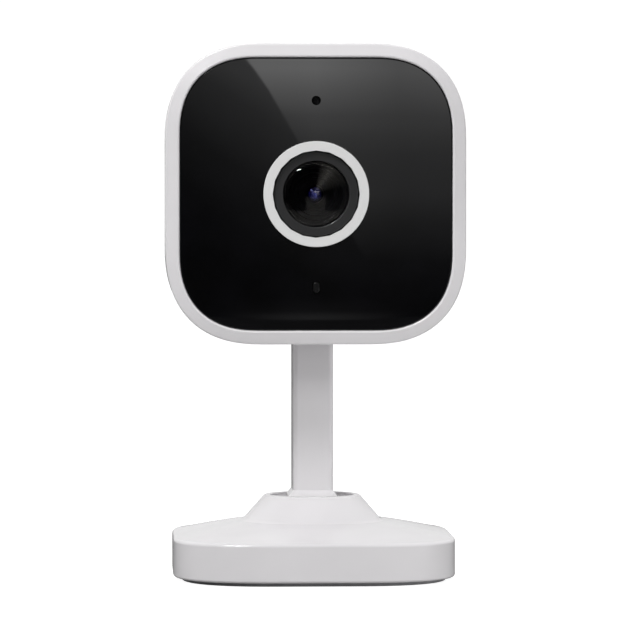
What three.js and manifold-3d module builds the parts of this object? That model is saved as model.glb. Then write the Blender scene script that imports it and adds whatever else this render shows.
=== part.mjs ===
// A small indoor security camera on a stem: a soft-cornered square head that tilts on a screw
// through the top of the stem, a stem that turns on its foot, and a weighted square base.
// Millimetres. +Z is up, the lens looks along -Y, and the origin is under the middle of the base.

import * as THREE from 'three';
import { mergeVertices } from 'three/addons/utils/BufferGeometryUtils.js';
import Module from 'manifold-3d';

const wasm = await Module();
wasm.setup();

// ---------------------------------------------------------------- driving dimensions

const LENS_HEIGHT = 72.6; // lens axis above the table

// Head. Its own frame has y running back from the rim and z up from the lens axis.
const HEAD_SIZE = 56;
const HEAD_DEPTH = 32;
const HEAD_CORNER = 18; // how far a soft corner reaches along each side
const HEAD_POWER = 2.4; // 2 is a round corner, more is squarer
const FRONT_EDGE = 1.2; // rounding of the rim's outer edge
const BACK_EDGE = 6; // rounding round the back
const SHELL_WALL = 1.8;
const RIM_WIDTH = 2.75;
const PARTING = 8.25; // from the rim back to the joint between the shells
const LAP = 2; // tongue of the rear shell inside the front one
const TONGUE_WALL = 1.1;
const FRAME_BOSS_RADIUS = 2.8;
const FRAME_BOSS_INSET = 6.4; // the four frame screws stand this far inside the cavity

// Front panel, and the white ring round the lens
const PANEL_RECESS = 0.5;
const PANEL_THICK = 1.5;
const LEDGE_WIDTH = 1.5;
const LEDGE_THICK = 1.2;
const RING_WIDTH = 1.72; // from the opening's corners outwards
const RING_SIDES = 20; // the ring's opening is a polygon
const RING_FLANGE = 0.35;
const RING_SPIGOT_WALL = 0.87;
const GASKET_THICK = 0.6;
const GASKET_GAP = 0.3; // round the ring's spigot
const GASKET_WIDTH = 1.4;
const HOOD_WALL = 0.63;
const HOOD_SINK = 0.25; // below the panel's face
const HOOD_LIP = 0.9; // thickness of the hood's front
const HOOD_FLANGE = 0.8;
const SENSE_DROP = 17.4; // microphone hole and light window, above and below the lens axis
const MIC_HOLE = 0.75;
const WINDOW_WIDTH = 1.4;
const WINDOW_HEIGHT = 2.2;

// Lens
const GLASS_RADIUS = 6.05;
const GLASS_SAG = 1.5; // height of the front dome
const GLASS_EDGE = 1.6; // thickness behind the dome
const BARREL_WALL = 0.95;
const BARREL_HEAD = 3.3; // length of the wide part behind the glass
const THREAD_RADIUS = 5.9;
const PUPIL_RADIUS = 1.5;
const HOLDER_WALL = 1.5;
const HOLDER_SIDE = 1.9; // past the filter frame's travel
const HOLDER_HEIGHT = 8; // half its height
const HOLDER_DEPTH = 5.4; // block in front of the sensor board
const FILTER_BACK = 3.4; // filter's channel, ahead of the sensor board

// Stem
const STEM_WIDTH = 7.6;
const STEM_DEPTH = 11;
const STEM_EDGE = 1; // rounding of its long edges
const STEM_WALL = 1.6;
const FOOT_FLARE = 0.75;
const FOOT_HEIGHT = 1.3;
const STRIP_GAP = 3; // from the strip's ends to the foot and to the hinge
const STRIP_LEDGE = 0.6; // step that the strip rests on

// Tilt joint
const HINGE_RISE = 8.4; // above the bottom of the head
const TILT_DOWN = 20; // degrees, set by the front end of the slot
const HINGE_SHANK = 1.5;
const HINGE_HEAD = 2.8;
const HINGE_HEAD_THICK = 2;
const NUT_RADIUS = 3.1;
const NUT_THICK = 2.4;
const SLOT_SIDE_GAP = 0.55; // each side of the stem, filled by a friction washer
const SLOT_END_GAP = 0.6;
const SLOT_WALL = 1.6;
const EAR_WALL = 2;
const WASHER_THICK = 0.35;

// Base
const BASE_SIZE = 53.2;
const BASE_CORNER = 19;
const BASE_POWER = 2.6;
const BASE_RIM_HEIGHT = 8; // top of the straight wall
const BASE_EDGE = 0.8;
const BASE_WALL = 2;
const BOSS_SPREAD = 4.55; // from the boss's top out to where it rises from the slope
const BOSS_FOOT_HEIGHT = 10.62;
const BOSS_HEIGHT = 15.4;
const BOSS_POWER = 2.2;
const BOSS_ROUND = 0.966; // share of its half width taken by the soft corner
const SLOPE_BULGE = 0.2;
const RECESS_LIP = 0.9;
const RECESS_GAP = 0.76; // round the foot's corners
const RECESS_DEPTH = 0.5;
const PAD_INSET = 1.9;
const PAD_THICK = 0.8;
const WALL_LIFT = 0.7; // the wall stands this far off the table
const PLATE_THICK = 1.8;
const PLATE_REBATE = 1.4; // wall left outside the base plate
const BASE_POST_INSET = 10.1;
const BASE_POST_RADIUS = 2.6;
const BASE_SCREW_SHANK = 1;
const BASE_SCREW_LENGTH = 4;
const BALLAST_REACH = 3; // past the middles of the posts

// Swivel under the boss
const SPIGOT_RADIUS = 4.4;
const SWIVEL_GAP = 0.1; // running clearance of the spigot, round it and under the foot
const SPRING_THICK = 0.8;
const RETAINER_RADIUS = 7;
const RETAINER_THICK = 1.2;
const SWIVEL_SCREW_SHANK = 1.1;
const SWIVEL_SCREW_LENGTH = 8;
const SWIVEL_SCREW_HEAD = 2.6;
const SWIVEL_SCREW_HEAD_THICK = 1.6;

// Circuit boards
const BOARD_THICK = 1.2;
const LED_ROOM = 2.4; // from the panel to the board of lights behind it
const LED_BOARD_WIDTH = 31;
const LED_BOARD_REACH = 4; // past the microphone
const LED_RISE = 10;
const LED_INSET = 2.9;
const FRAME_GAP = 0.6;
const FRAME_THICK = 1.8;
const SENSOR_BOARD_Y = 18.4;
const SENSOR_BOARD_WIDTH = 25;
const SENSOR_BOARD_HEIGHT = 19;
const MAIN_BOARD_WIDTH = 40;
const MAIN_BOARD_GAP = 1; // above the stem slot
const MAIN_BOARD_INSET = 3.2; // below the top of the cavity
const BOARD_SCREW_INSET = 2.6;
const POST_RADIUS = 2.2;
const SHIELD_THICK = 1.8;
const LED_RADIUS = 1.6;

// Sockets and button in the back
const PORT_WIDTH = 13;
const PORT_HEIGHT = 8;
const PORT_DEPTH = 4.6;
const PORT_WALL = 1.4;
const USB_WIDTH = 9;
const USB_HEIGHT = 3.2;
const USB_LENGTH = 4.4;
const USB_WALL = 0.35;
const USB_TONGUE = 0.7;
const BUTTON_RADIUS = 1.5;
const BUTTON_OFFSET = 13; // from the middle
const BUTTON_TRAVEL = 0.4;
const CARD_WIDTH = 11;
const CARD_SLOT = 1.4;
const CARD_LENGTH = 15;
const CARD_INSET = 1.7; // from the inside of the shell
const CARD_WALL = 0.9;
const CARD_RISE = 10.3; // above the power socket
const SPEAKER_RADIUS = 9;
const SPEAKER_DEPTH = 4.2;
const SPEAKER_RISE = 3.5; // above the power socket's recess
const SPEAKER_RIM = 1.2; // flat rim that the gasket lies on
const SPEAKER_GASKET = 0.5;
const GRILLE_HOLE = 0.6;
const GRILLE_PITCH = 2.1;

// Filter that slides behind the lens
const FILTER_PITCH = 6.2; // from one window to the other, which is its travel
const FILTER_WINDOW = 5.4;
const FILTER_THICK = 0.7;
const FILTER_BORDER = 1.1;
const COIL_RADIUS = 2.4;
const COIL_LENGTH = 9;

// Fasteners
const SCREW_SHANK = 0.9;
const SCREW_HEAD = 1.9;
const SCREW_HEAD_THICK = 1.1;

// Clearances
const FIT = 0.1; // between pieces that are fixed together
const SHANK_FIT = 0.1;
const SLIDE_FIT = 0.2;

// ---------------------------------------------------------------- sizes that follow

const headHalf = HEAD_SIZE / 2;
const cavityHalf = headHalf - SHELL_WALL;
const panelHalf = headHalf - RIM_WIDTH;
const panelBack = PANEL_RECESS + PANEL_THICK;
const ledgeBack = panelBack + FIT + LEDGE_THICK;
const backInside = HEAD_DEPTH - SHELL_WALL;
const hingeDrop = HINGE_RISE - headHalf;
const hingeHeight = LENS_HEIGHT + hingeDrop;
const tiltDown = THREE.MathUtils.degToRad(TILT_DOWN);
const slotHalf = STEM_WIDTH / 2 + SLOT_SIDE_GAP;
const slotReach = STEM_DEPTH / 2 + SLOT_END_GAP;
const slotFront = PARTING + SLOT_WALL;
const faceForward = slotFront + HINGE_RISE * Math.tan(tiltDown) + slotReach / Math.cos(tiltDown);
const slotRoof = hingeDrop + slotReach;
const earHalf = slotHalf + EAR_WALL;
const linerTop = slotRoof + SLOT_WALL;
const barrelRadius = GLASS_RADIUS + BARREL_WALL;
const hoodBore = barrelRadius + SLIDE_FIT;
const hoodRadius = hoodBore + HOOD_WALL;
const ringOpening = (hoodRadius + SLIDE_FIT) / Math.cos(Math.PI / RING_SIDES); // to its corners
const ringRadius = ringOpening + RING_WIDTH;
const spigotRadius = ringOpening + RING_SPIGOT_WALL;
const gasketInner = spigotRadius + GASKET_GAP;
const gasketOuter = gasketInner + GASKET_WIDTH;
const gasketBack = panelBack + FIT + GASKET_THICK;
const bossInset = cavityHalf - FRAME_BOSS_INSET;
const baseHalf = BASE_SIZE / 2;
const recessFloor = BOSS_HEIGHT - RECESS_DEPTH;
const footWidth = STEM_WIDTH + 2 * FOOT_FLARE;
const footDepth = STEM_DEPTH + 2 * FOOT_FLARE;
const footRound = STEM_EDGE + 0.3;
const footReach = Math.hypot(footWidth / 2 - footRound, footDepth / 2 - footRound) + footRound;
const recessRadius = footReach + RECESS_GAP;
const bossTop = recessRadius + RECESS_LIP; // half width of the boss at its top
const bossFoot = bossTop + BOSS_SPREAD;
const ceiling = recessFloor - BASE_WALL;
const plateTop = PAD_THICK + FIT + PLATE_THICK;
const footBottom = recessFloor + SWIVEL_GAP;
const footTop = footBottom + FOOT_HEIGHT;
const spigotEnd = ceiling - SPRING_THICK - 2 * SLIDE_FIT;
const boardBottom = linerTop + MAIN_BOARD_GAP;
const boardTop = cavityHalf - MAIN_BOARD_INSET;
const boardBack = HEAD_DEPTH - PORT_DEPTH - USB_LENGTH;
const mainBoardY = boardBack - BOARD_THICK;
const ledBoardY = panelBack + LED_ROOM;
const frameY = ledBoardY + BOARD_THICK + FRAME_GAP;
const frameBack = frameY + FRAME_THICK;
const portDrop = boardBottom + PORT_HEIGHT / 2 + PORT_WALL;
const speakerRise = portDrop + PORT_HEIGHT / 2 + PORT_WALL + SPEAKER_RADIUS + SPEAKER_RISE;
const cardRise = portDrop + CARD_RISE;

// ---------------------------------------------------------------- colours

const finish = (color, roughness, metalness = 0, opacity = 1) =>
  new THREE.MeshStandardMaterial({ color, roughness, metalness, opacity, transparent: opacity < 1 });

const white = finish('#e4e3e5', 0.3);
const blackGloss = finish('#0b0b0c', 0.06);
const ringWhite = finish('#d3d3d3', 0.45);
const darkGrey = finish('#2f2f2f', 0.55);
const blackMatt = finish('#101011', 0.6);
const lensGlass = finish('#0a0a12', 0.02, 0, 0.4);
const coatedGlass = finish('#1c1a4a', 0.03, 0, 0.6);
const smokedGlass = finish('#1c1c1c', 0.1, 0, 0.7);
const board = finish('#123a22', 0.5);
const steel = finish('#b9bbbe', 0.3, 1);
const darkSteel = finish('#4a4b4e', 0.4, 1);
const foam = finish('#1b1b1b', 0.95);
const rubber = finish('#4c4c4d', 0.85);
const siliconDark = finish('#1a1c22', 0.25);
const ledClear = finish('#40222a', 0.1, 0, 0.8);
const amber = finish('#a8641e', 0.4);

// ---------------------------------------------------------------- solids

const point = (radius, along) => new THREE.Vector2(radius, along);

/** A closed geometry as a manifold-3d solid. */
function toSolid(geometry) {
  const bare = geometry.clone();
  bare.deleteAttribute('normal');
  bare.deleteAttribute('uv');
  const merged = mergeVertices(bare, 1e-4);
  const vertProperties = new Float32Array(merged.attributes.position.array);
  const triVerts = new Uint32Array(merged.index.array);
  return new wasm.Manifold(new wasm.Mesh({ numProp: 3, vertProperties, triVerts }));
}

/** A manifold-3d solid as a geometry. */
function toGeometry(solid) {
  const mesh = solid.getMesh();
  const geometry = new THREE.BufferGeometry();
  geometry.setAttribute('position', new THREE.BufferAttribute(mesh.vertProperties, 3));
  geometry.setIndex(new THREE.BufferAttribute(mesh.triVerts, 1));
  return geometry;
}

const join = (first, ...rest) =>
  toGeometry(rest.reduce((whole, next) => whole.add(toSolid(next)), toSolid(first)));
const cut = (first, ...rest) =>
  toGeometry(rest.reduce((whole, next) => whole.subtract(toSolid(next)), toSolid(first)));
const common = (first, second) => toGeometry(toSolid(first).intersect(toSolid(second)));

/** A box between two corners. */
function box(low, high) {
  const size = high.map((value, axis) => value - low[axis]);
  const middle = high.map((value, axis) => (value + low[axis]) / 2);
  return new THREE.BoxGeometry(...size).translate(...middle);
}

/** A box given by its middle in x and z, its width and height, and its reach in y. */
const block = (x, z, width, height, front, back) =>
  box([x - width / 2, front, z - height / 2], [x + width / 2, back, z + height / 2]);

/** Turned about the y axis: the outline is given as [radius, y], going up y on the outside. */
const turned = (outline, segments = 20) =>
  new THREE.LatheGeometry(outline.map(([radius, along]) => point(radius, along)), segments);

/** Turned about the z axis. */
const turnedUp = (outline, segments = 20) => turned(outline, segments).rotateX(Math.PI / 2);

/** A round bar along y, from front to back. */
const bar = (radius, front, back, segments = 20) =>
  turned([[0, front], [radius, front], [radius, back], [0, back]], segments);

/** A round bar along z, from bottom to top. */
const post = (radius, bottom, top, segments = 20) =>
  turnedUp([[0, bottom], [radius, bottom], [radius, top], [0, top]], segments);

/** A round bar along x. */
const axle = (radius, left, right, segments = 20) =>
  bar(radius, left, right, segments).rotateZ(-Math.PI / 2);

/** A tube along y. */
const tube = (outer, inner, front, back, segments = 20) =>
  turned([[inner, front], [outer, front], [outer, back], [inner, back], [inner, front]], segments);

/** A screw along y whose head's underside is at y = 0 and whose shank points to -y. */
function screw(length, shank = SCREW_SHANK, head = SCREW_HEAD, thick = SCREW_HEAD_THICK) {
  const outline = [[0, -length], [shank, -length + shank], [shank, 0], [head, 0]];
  outline.push([head, thick * 0.6], [head * 0.7, thick], [0, thick]);
  const slot = block(0, 0, head * 1.2, head * 0.3, thick * 0.5, thick * 2);
  return cut(turned(outline, 10), slot);
}

const CORNER_STEPS = 9;

/**
 * Pushes a geometry that was turned about y from round to square with soft corners.
 * outlineAt(half) gives the corner's reach and power where the half width is that.
 */
function squared(outline, outlineAt) {
  const geometry = turned(outline, 4 * CORNER_STEPS);
  const position = geometry.attributes.position;
  const quarter = Math.PI / 2;
  for (let i = 0; i < position.count; i += 1) {
    const half = Math.hypot(position.getX(i), position.getZ(i));
    if (half < 1e-6) continue;
    const angle = Math.atan2(position.getX(i), position.getZ(i));
    const step = Math.round((angle / quarter) * CORNER_STEPS + 4 * CORNER_STEPS) % (4 * CORNER_STEPS);
    const side = Math.floor(step / CORNER_STEPS);
    const turn = ((step % CORNER_STEPS) / (CORNER_STEPS - 1)) * quarter;
    const { corner, power } = outlineAt(half);
    const along = half - corner + corner * Math.cos(turn) ** (2 / power);
    const across = half - corner + corner * Math.max(0, Math.sin(turn)) ** (2 / power);
    const start = side * quarter;
    position.setX(i, along * Math.sin(start) + across * Math.cos(start));
    position.setZ(i, along * Math.cos(start) - across * Math.sin(start));
  }
  return geometry;
}

/** The head's outline: parallel to the outer one, and shrinking evenly near the middle. */
function headOutline(half) {
  const flat = headHalf - HEAD_CORNER;
  const small = flat + 2;
  const corner = half > small ? half - flat : (half * 2) / small;
  return { corner, power: HEAD_POWER };
}

/** The base's outline: nearly round at the boss, squarer towards the wall. */
function baseOutline(half) {
  const share = THREE.MathUtils.clamp((half - bossTop) / (baseHalf - bossTop), 0, 1);
  const corner = half * THREE.MathUtils.lerp(BOSS_ROUND, BASE_CORNER / baseHalf, share);
  return { corner, power: THREE.MathUtils.lerp(BOSS_POWER, BASE_POWER, share) };
}

const headTurned = (outline) => squared(outline, headOutline);
const baseTurned = (outline) => squared(outline, baseOutline).rotateX(Math.PI / 2);
const headSlab = (half, front, back) => headTurned([[0, front], [half, front], [half, back], [0, back]]);
const baseSlab = (half, low, high) => baseTurned([[0, low], [half, low], [half, high], [0, high]]);

/** Points of a quarter round, from one end to the other; the turn runs from start to end degrees. */
function arc(middleRadius, middleAlong, radius, start, end, steps) {
  return Array.from({ length: steps + 1 }, (_, i) => {
    const angle = THREE.MathUtils.degToRad(start + ((end - start) * i) / steps);
    return [middleRadius + radius * Math.cos(angle), middleAlong + radius * Math.sin(angle)];
  });
}

/** A flat plate with rounded corners, in x and z, from front to back in y. */
function plate(x, z, width, height, front, back, round = 1.5) {
  const shape = new THREE.Shape();
  const w = width / 2;
  const h = height / 2;
  shape.moveTo(-w + round, -h);
  shape.lineTo(w - round, -h);
  shape.absarc(w - round, -h + round, round, -Math.PI / 2, 0);
  shape.lineTo(w, h - round);
  shape.absarc(w - round, h - round, round, 0, Math.PI / 2);
  shape.lineTo(-w + round, h);
  shape.absarc(-w + round, h - round, round, Math.PI / 2, Math.PI);
  shape.lineTo(-w, -h + round);
  shape.absarc(-w + round, -h + round, round, Math.PI, 1.5 * Math.PI);
  const depth = back - front;
  const slab = new THREE.ExtrudeGeometry(shape, { depth, bevelEnabled: false, curveSegments: 3 });
  return slab.rotateX(Math.PI / 2).translate(x, back, z);
}

/** A copy of a geometry at each of the given [x, z] places. */
const copies = (geometry, places) => places.map(([x, z]) => geometry.clone().translate(x, 0, z));

/** The four corners of a rectangle about the middle. */
const corners = (x, z) => [[-x, z], [x, z], [x, -z], [-x, -z]];

function named(name, geometry, material) {
  const mesh = new THREE.Mesh(geometry, material.clone());
  mesh.name = name;
  return mesh;
}

// ---------------------------------------------------------------- head shells and front

const frameScrewPlaces = corners(bossInset, bossInset);

function frontShell() {
  const ring = headTurned([
    [panelHalf, PANEL_RECESS],
    [panelHalf, 0.25],
    [panelHalf + 0.25, 0],
    ...arc(headHalf - FRONT_EDGE, FRONT_EDGE, FRONT_EDGE, -90, 0, 4),
    [headHalf, PARTING - FIT],
    [cavityHalf, PARTING - FIT],
    [cavityHalf, ledgeBack],
    [panelHalf - LEDGE_WIDTH, ledgeBack],
    [panelHalf - LEDGE_WIDTH, panelBack + FIT],
    [panelHalf, panelBack + FIT],
    [panelHalf, PANEL_RECESS],
  ]);
  const bosses = copies(bar(FRAME_BOSS_RADIUS, panelBack + 2 * FIT, frameY - FIT, 12), frameScrewPlaces);
  const pilots = copies(bar(SCREW_SHANK + SHANK_FIT, ledgeBack + 0.6, frameY, 10), frameScrewPlaces);
  return cut(join(ring, ...bosses), ...pilots);
}

function rearShell() {
  const innerEdge = BACK_EDGE - SHELL_WALL;
  const tongueHalf = cavityHalf - FIT;
  const skin = headTurned([
    [tongueHalf - TONGUE_WALL, PARTING - LAP],
    [tongueHalf, PARTING - LAP],
    [tongueHalf, PARTING],
    [headHalf, PARTING],
    ...arc(headHalf - BACK_EDGE, HEAD_DEPTH - BACK_EDGE, BACK_EDGE, 0, 90, 5),
    [0, HEAD_DEPTH],
    [0, backInside],
    ...arc(headHalf - BACK_EDGE, HEAD_DEPTH - BACK_EDGE, innerEdge, 90, 0, 4),
    [cavityHalf, PARTING + LAP],
    [tongueHalf - TONGUE_WALL, PARTING + LAP / 2],
    [tongueHalf - TONGUE_WALL, PARTING - LAP],
  ]);
  const whole = headTurned([
    [0, PARTING],
    [headHalf, PARTING],
    ...arc(headHalf - BACK_EDGE, HEAD_DEPTH - BACK_EDGE, BACK_EDGE, 0, 90, 5),
    [0, HEAD_DEPTH],
  ]);
  const liner = box([-earHalf, PARTING, -headHalf], [earHalf, HEAD_DEPTH, linerTop]);
  const portBox = block(0, portDrop, PORT_WIDTH + 2 * PORT_WALL, PORT_HEIGHT + 2 * PORT_WALL,
    HEAD_DEPTH - PORT_DEPTH - PORT_WALL, backInside + 0.5);
  const slot = box([-slotHalf, slotFront, -headHalf - 1], [slotHalf, HEAD_DEPTH + 1, slotRoof]);
  const hingeHole = axle(HINGE_SHANK + SHANK_FIT, -earHalf - 1, earHalf + 1, 16)
    .translate(0, faceForward, hingeDrop);
  const port = plate(0, portDrop, PORT_WIDTH, PORT_HEIGHT, HEAD_DEPTH - PORT_DEPTH, HEAD_DEPTH + 1, 2);
  const usbHole = block(0, portDrop, USB_WIDTH + 2 * SLIDE_FIT, USB_HEIGHT + 2 * SLIDE_FIT,
    backInside - PORT_DEPTH - PORT_WALL, HEAD_DEPTH);
  const buttonHole = bar(BUTTON_RADIUS + SLIDE_FIT, backInside - 1, HEAD_DEPTH + 1, 16)
    .translate(BUTTON_OFFSET, 0, portDrop);
  const cardSlot = box(
    [cavityHalf - 1, boardBack + SLIDE_FIT, cardRise - CARD_WIDTH / 2 - 0.5],
    [headHalf + 1, boardBack + SLIDE_FIT + CARD_SLOT, cardRise + CARD_WIDTH / 2 + 0.5],
  );
  const hole = bar(GRILLE_HOLE, backInside - 1, HEAD_DEPTH + 1, 6);
  const grille = copies(hole, grillePlaces());
  const body = join(skin, common(liner, whole), portBox);
  return cut(body, slot, hingeHole, port, usbHole, buttonHole, cardSlot, ...grille);
}

/** Speaker holes in rings of 1, 6, 12 and 18 about the speaker's middle. */
function grillePlaces() {
  const places = [[0, speakerRise]];
  for (let ring = 1; ring * GRILLE_PITCH < SPEAKER_RADIUS - 2.5; ring += 1) {
    for (let i = 0; i < 6 * ring; i += 1) {
      const angle = (Math.PI * i) / (3 * ring);
      const reach = ring * GRILLE_PITCH;
      places.push([reach * Math.sin(angle), speakerRise + reach * Math.cos(angle)]);
    }
  }
  return places;
}

function frontPanel() {
  const slab = headSlab(panelHalf - FIT, PANEL_RECESS, panelBack);
  const lensHole = bar(spigotRadius + FIT, 0, panelBack + 1, 28);
  const micHole = bar(MIC_HOLE, 0, panelBack + 1, 16).translate(0, 0, SENSE_DROP);
  const window = plate(0, -SENSE_DROP, WINDOW_WIDTH, WINDOW_HEIGHT, 0, panelBack + 1, 0.6);
  return cut(slab, lensHole, micHole, window);
}

function lensRing() {
  const flangeBack = PANEL_RECESS - FIT;
  const body = turned([
    [0, flangeBack - RING_FLANGE],
    [ringRadius, flangeBack - RING_FLANGE],
    [ringRadius, flangeBack],
    [spigotRadius, flangeBack],
    [spigotRadius, panelBack + 0.3],
    [0, panelBack + 0.3],
  ], 36);
  const opening = new THREE.CylinderGeometry(ringOpening, ringOpening, 2 * HEAD_DEPTH, RING_SIDES);
  return cut(body, opening);
}

function lensHood() {
  const front = PANEL_RECESS + HOOD_SINK;
  const flange = gasketBack + FIT;
  const mouth = GLASS_RADIUS + 0.15;
  return turned([
    [mouth, front + 0.1],
    [mouth + 0.1, front],
    [hoodRadius - 0.15, front],
    [hoodRadius, front + 0.15],
    [hoodRadius, flange],
    [gasketOuter, flange],
    [gasketOuter, flange + HOOD_FLANGE],
    [hoodBore, flange + HOOD_FLANGE],
    [hoodBore, front + HOOD_LIP],
    [mouth, front + HOOD_LIP],
    [mouth, front + 0.1],
  ], 28);
}

// ---------------------------------------------------------------- lens and sensor

const glassFront = PANEL_RECESS; // top of the dome
const glassEdgeFront = glassFront + GLASS_SAG;
const glassBack = glassEdgeFront + GLASS_EDGE;
const holderFront = SENSOR_BOARD_Y - HOLDER_DEPTH;
const filterFront = SENSOR_BOARD_Y - FILTER_BACK;
const barrelBack = filterFront - 0.5;
const cavityDeep = FILTER_THICK + 2 * SLIDE_FIT;
const filterHalf = FILTER_WINDOW / 2 + FILTER_BORDER;
const filterLow = -filterHalf;
const filterHigh = FILTER_PITCH + filterHalf;
const holderHalf = filterHigh + HOLDER_SIDE;
const holderRadius = THREAD_RADIUS + HOLDER_WALL;
const holderScrewX = holderHalf - 1.8;
const holderScrewZ = HOLDER_HEIGHT - 1.7;
const holderScrewPlaces = [[-holderScrewX, holderScrewZ], [holderScrewX, -holderScrewZ]];

function frontGlass() {
  const ball = (GLASS_RADIUS ** 2 + GLASS_SAG ** 2) / (2 * GLASS_SAG);
  const edge = THREE.MathUtils.radToDeg(Math.asin(GLASS_RADIUS / ball));
  const dome = arc(0, glassFront + ball, ball, -90, -90 + edge, 4);
  dome[0][0] = 0;
  return turned([...dome, [GLASS_RADIUS, glassBack], [0, glassBack]], 28);
}

function lensBarrel() {
  const bore = GLASS_RADIUS + FIT;
  const front = glassEdgeFront - 0.1;
  const bowl = glassBack + FIT;
  const shoulder = glassBack + BARREL_HEAD;
  return turned([
    [bore, front],
    [barrelRadius, front],
    [barrelRadius, shoulder],
    [THREAD_RADIUS, shoulder],
    [THREAD_RADIUS, barrelBack],
    [THREAD_RADIUS - 1.9, barrelBack],
    [THREAD_RADIUS - 1.9, barrelBack - 3.5],
    [PUPIL_RADIUS + FIT, barrelBack - 6.2],
    [PUPIL_RADIUS + FIT, bowl + 2.5],
    [GLASS_RADIUS - 0.8, bowl],
    [bore, bowl],
    [bore, front],
  ], 24);
}

function innerElement() {
  const front = glassBack + 2.1;
  const edge = front + 0.6;
  return turned([
    [0, front], [PUPIL_RADIUS * 0.6, front + 0.15], [PUPIL_RADIUS, edge],
    [PUPIL_RADIUS, edge + 1.5], [0, edge + 1.5],
  ]);
}

function lensHolder() {
  const tubePart = bar(holderRadius, frameY + 1, holderFront + 0.5, 24);
  const basePart = block(0, 0, 2 * holderHalf, 2 * HOLDER_HEIGHT, holderFront, SENSOR_BOARD_Y - FIT);
  const thread = bar(THREAD_RADIUS + FIT, frameY, filterFront + 0.2, 24);
  const channel = box(
    [-holderHalf + 1, filterFront, -filterHalf - SLIDE_FIT],
    [holderHalf + 1, filterFront + cavityDeep, filterHalf + SLIDE_FIT],
  );
  const light = block(0, 0, FILTER_WINDOW + 0.4, FILTER_WINDOW + 0.4, filterFront, SENSOR_BOARD_Y);
  const pocket = block(0, 0, 9, 8, SENSOR_BOARD_Y - 1.4, SENSOR_BOARD_Y);
  const hole = bar(SCREW_SHANK + SHANK_FIT, holderFront - 1, SENSOR_BOARD_Y + 1, 10);
  const holes = copies(hole, holderScrewPlaces);
  return cut(join(tubePart, basePart), thread, channel, light, pocket, ...holes);
}

function filterFrame() {
  const front = filterFront + SLIDE_FIT;
  const body = box([filterLow, front, -filterHalf], [filterHigh, front + FILTER_THICK, filterHalf]);
  const hole = block(0, 0, FILTER_WINDOW, FILTER_WINDOW, front - 1, front + 2);
  return cut(body, hole, hole.clone().translate(FILTER_PITCH, 0, 0));
}

const filterCoil = () => axle(COIL_RADIUS, -COIL_LENGTH / 2, COIL_LENGTH / 2, 16)
  .translate(0, (holderFront + SENSOR_BOARD_Y) / 2, HOLDER_HEIGHT + COIL_RADIUS + FIT);

function filterPane(x) {
  const front = filterFront + SLIDE_FIT + 0.15;
  const side = FILTER_WINDOW - 2 * FIT;
  return block(x, 0, side, side, front, front + 0.4);
}

// ---------------------------------------------------------------- boards

const ledBoardHeight = 2 * (SENSE_DROP + LED_BOARD_REACH);
const ledPlaces = corners(LED_BOARD_WIDTH / 2 - LED_INSET, LED_RISE);
const mainBoardHeight = boardTop - boardBottom;
const mainBoardRise = (boardTop + boardBottom) / 2;
const boardScrewX = MAIN_BOARD_WIDTH / 2 - BOARD_SCREW_INSET;
const boardScrewRise = cardRise + CARD_WIDTH / 2 + CARD_WALL + SCREW_HEAD + 0.7; // clear of the socket
const boardScrewPlaces = [[-boardScrewX, boardScrewRise], [boardScrewX, boardScrewRise]];

function ledBoard() {
  const slab = plate(0, 0, LED_BOARD_WIDTH, ledBoardHeight, ledBoardY, ledBoardY + BOARD_THICK, 3);
  return cut(slab, bar(spigotRadius + 2.2, 0, HEAD_DEPTH, 24));
}

function infraredLed() {
  const back = ledBoardY - FIT;
  return turned([
    [0, back - 1.9], [LED_RADIUS * 0.6, back - 1.7], [LED_RADIUS * 0.9, back - 1.2],
    [LED_RADIUS * 0.9, back - 0.6], [LED_RADIUS, back - 0.6], [LED_RADIUS, back], [0, back],
  ], 12);
}

function midFrame() {
  const half = cavityHalf - TONGUE_WALL - 4 * FIT;
  const slab = headSlab(half, frameY, frameBack);
  const middle = bar(Math.max(barrelRadius, holderRadius) + SLIDE_FIT, 0, HEAD_DEPTH, 24);
  const frameHoles = copies(bar(SCREW_SHANK + SHANK_FIT, 0, HEAD_DEPTH, 10), frameScrewPlaces);
  const pads = copies(bar(POST_RADIUS, frameY + 1, holderFront - FIT, 12), holderScrewPlaces);
  const padHoles = copies(bar(SCREW_SHANK + SHANK_FIT, frameY + 2.4, holderFront, 10), holderScrewPlaces);
  const posts = copies(bar(POST_RADIUS, frameY + 1, mainBoardY - FIT, 12), boardScrewPlaces);
  const postHoles = copies(bar(SCREW_SHANK + SHANK_FIT, mainBoardY - 7, mainBoardY, 10), boardScrewPlaces);
  return cut(join(slab, ...pads, ...posts), middle, ...frameHoles, ...padHoles, ...postHoles);
}

function sensorBoard() {
  const slab = plate(0, 0, SENSOR_BOARD_WIDTH, SENSOR_BOARD_HEIGHT, SENSOR_BOARD_Y,
    SENSOR_BOARD_Y + BOARD_THICK);
  return cut(slab, ...copies(bar(SCREW_SHANK + SHANK_FIT, 0, HEAD_DEPTH, 10), holderScrewPlaces));
}

function mainBoard() {
  const slab = plate(0, mainBoardRise, MAIN_BOARD_WIDTH, mainBoardHeight, mainBoardY, boardBack, 2);
  return cut(slab, ...copies(bar(SCREW_SHANK + SHANK_FIT, 0, HEAD_DEPTH, 10), boardScrewPlaces));
}

function usbSocket() {
  const mouth = HEAD_DEPTH - PORT_DEPTH;
  const can = plate(0, portDrop, USB_WIDTH, USB_HEIGHT, boardBack + FIT, mouth, 1.4);
  const inside = plate(0, portDrop, USB_WIDTH - 2 * USB_WALL, USB_HEIGHT - 2 * USB_WALL,
    boardBack + 1.2, mouth + 1, 1.1);
  const tongue = block(0, portDrop, USB_WIDTH - 2.4, USB_TONGUE, boardBack + 1, mouth - 0.6);
  return join(cut(can, inside), tongue);
}

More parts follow.
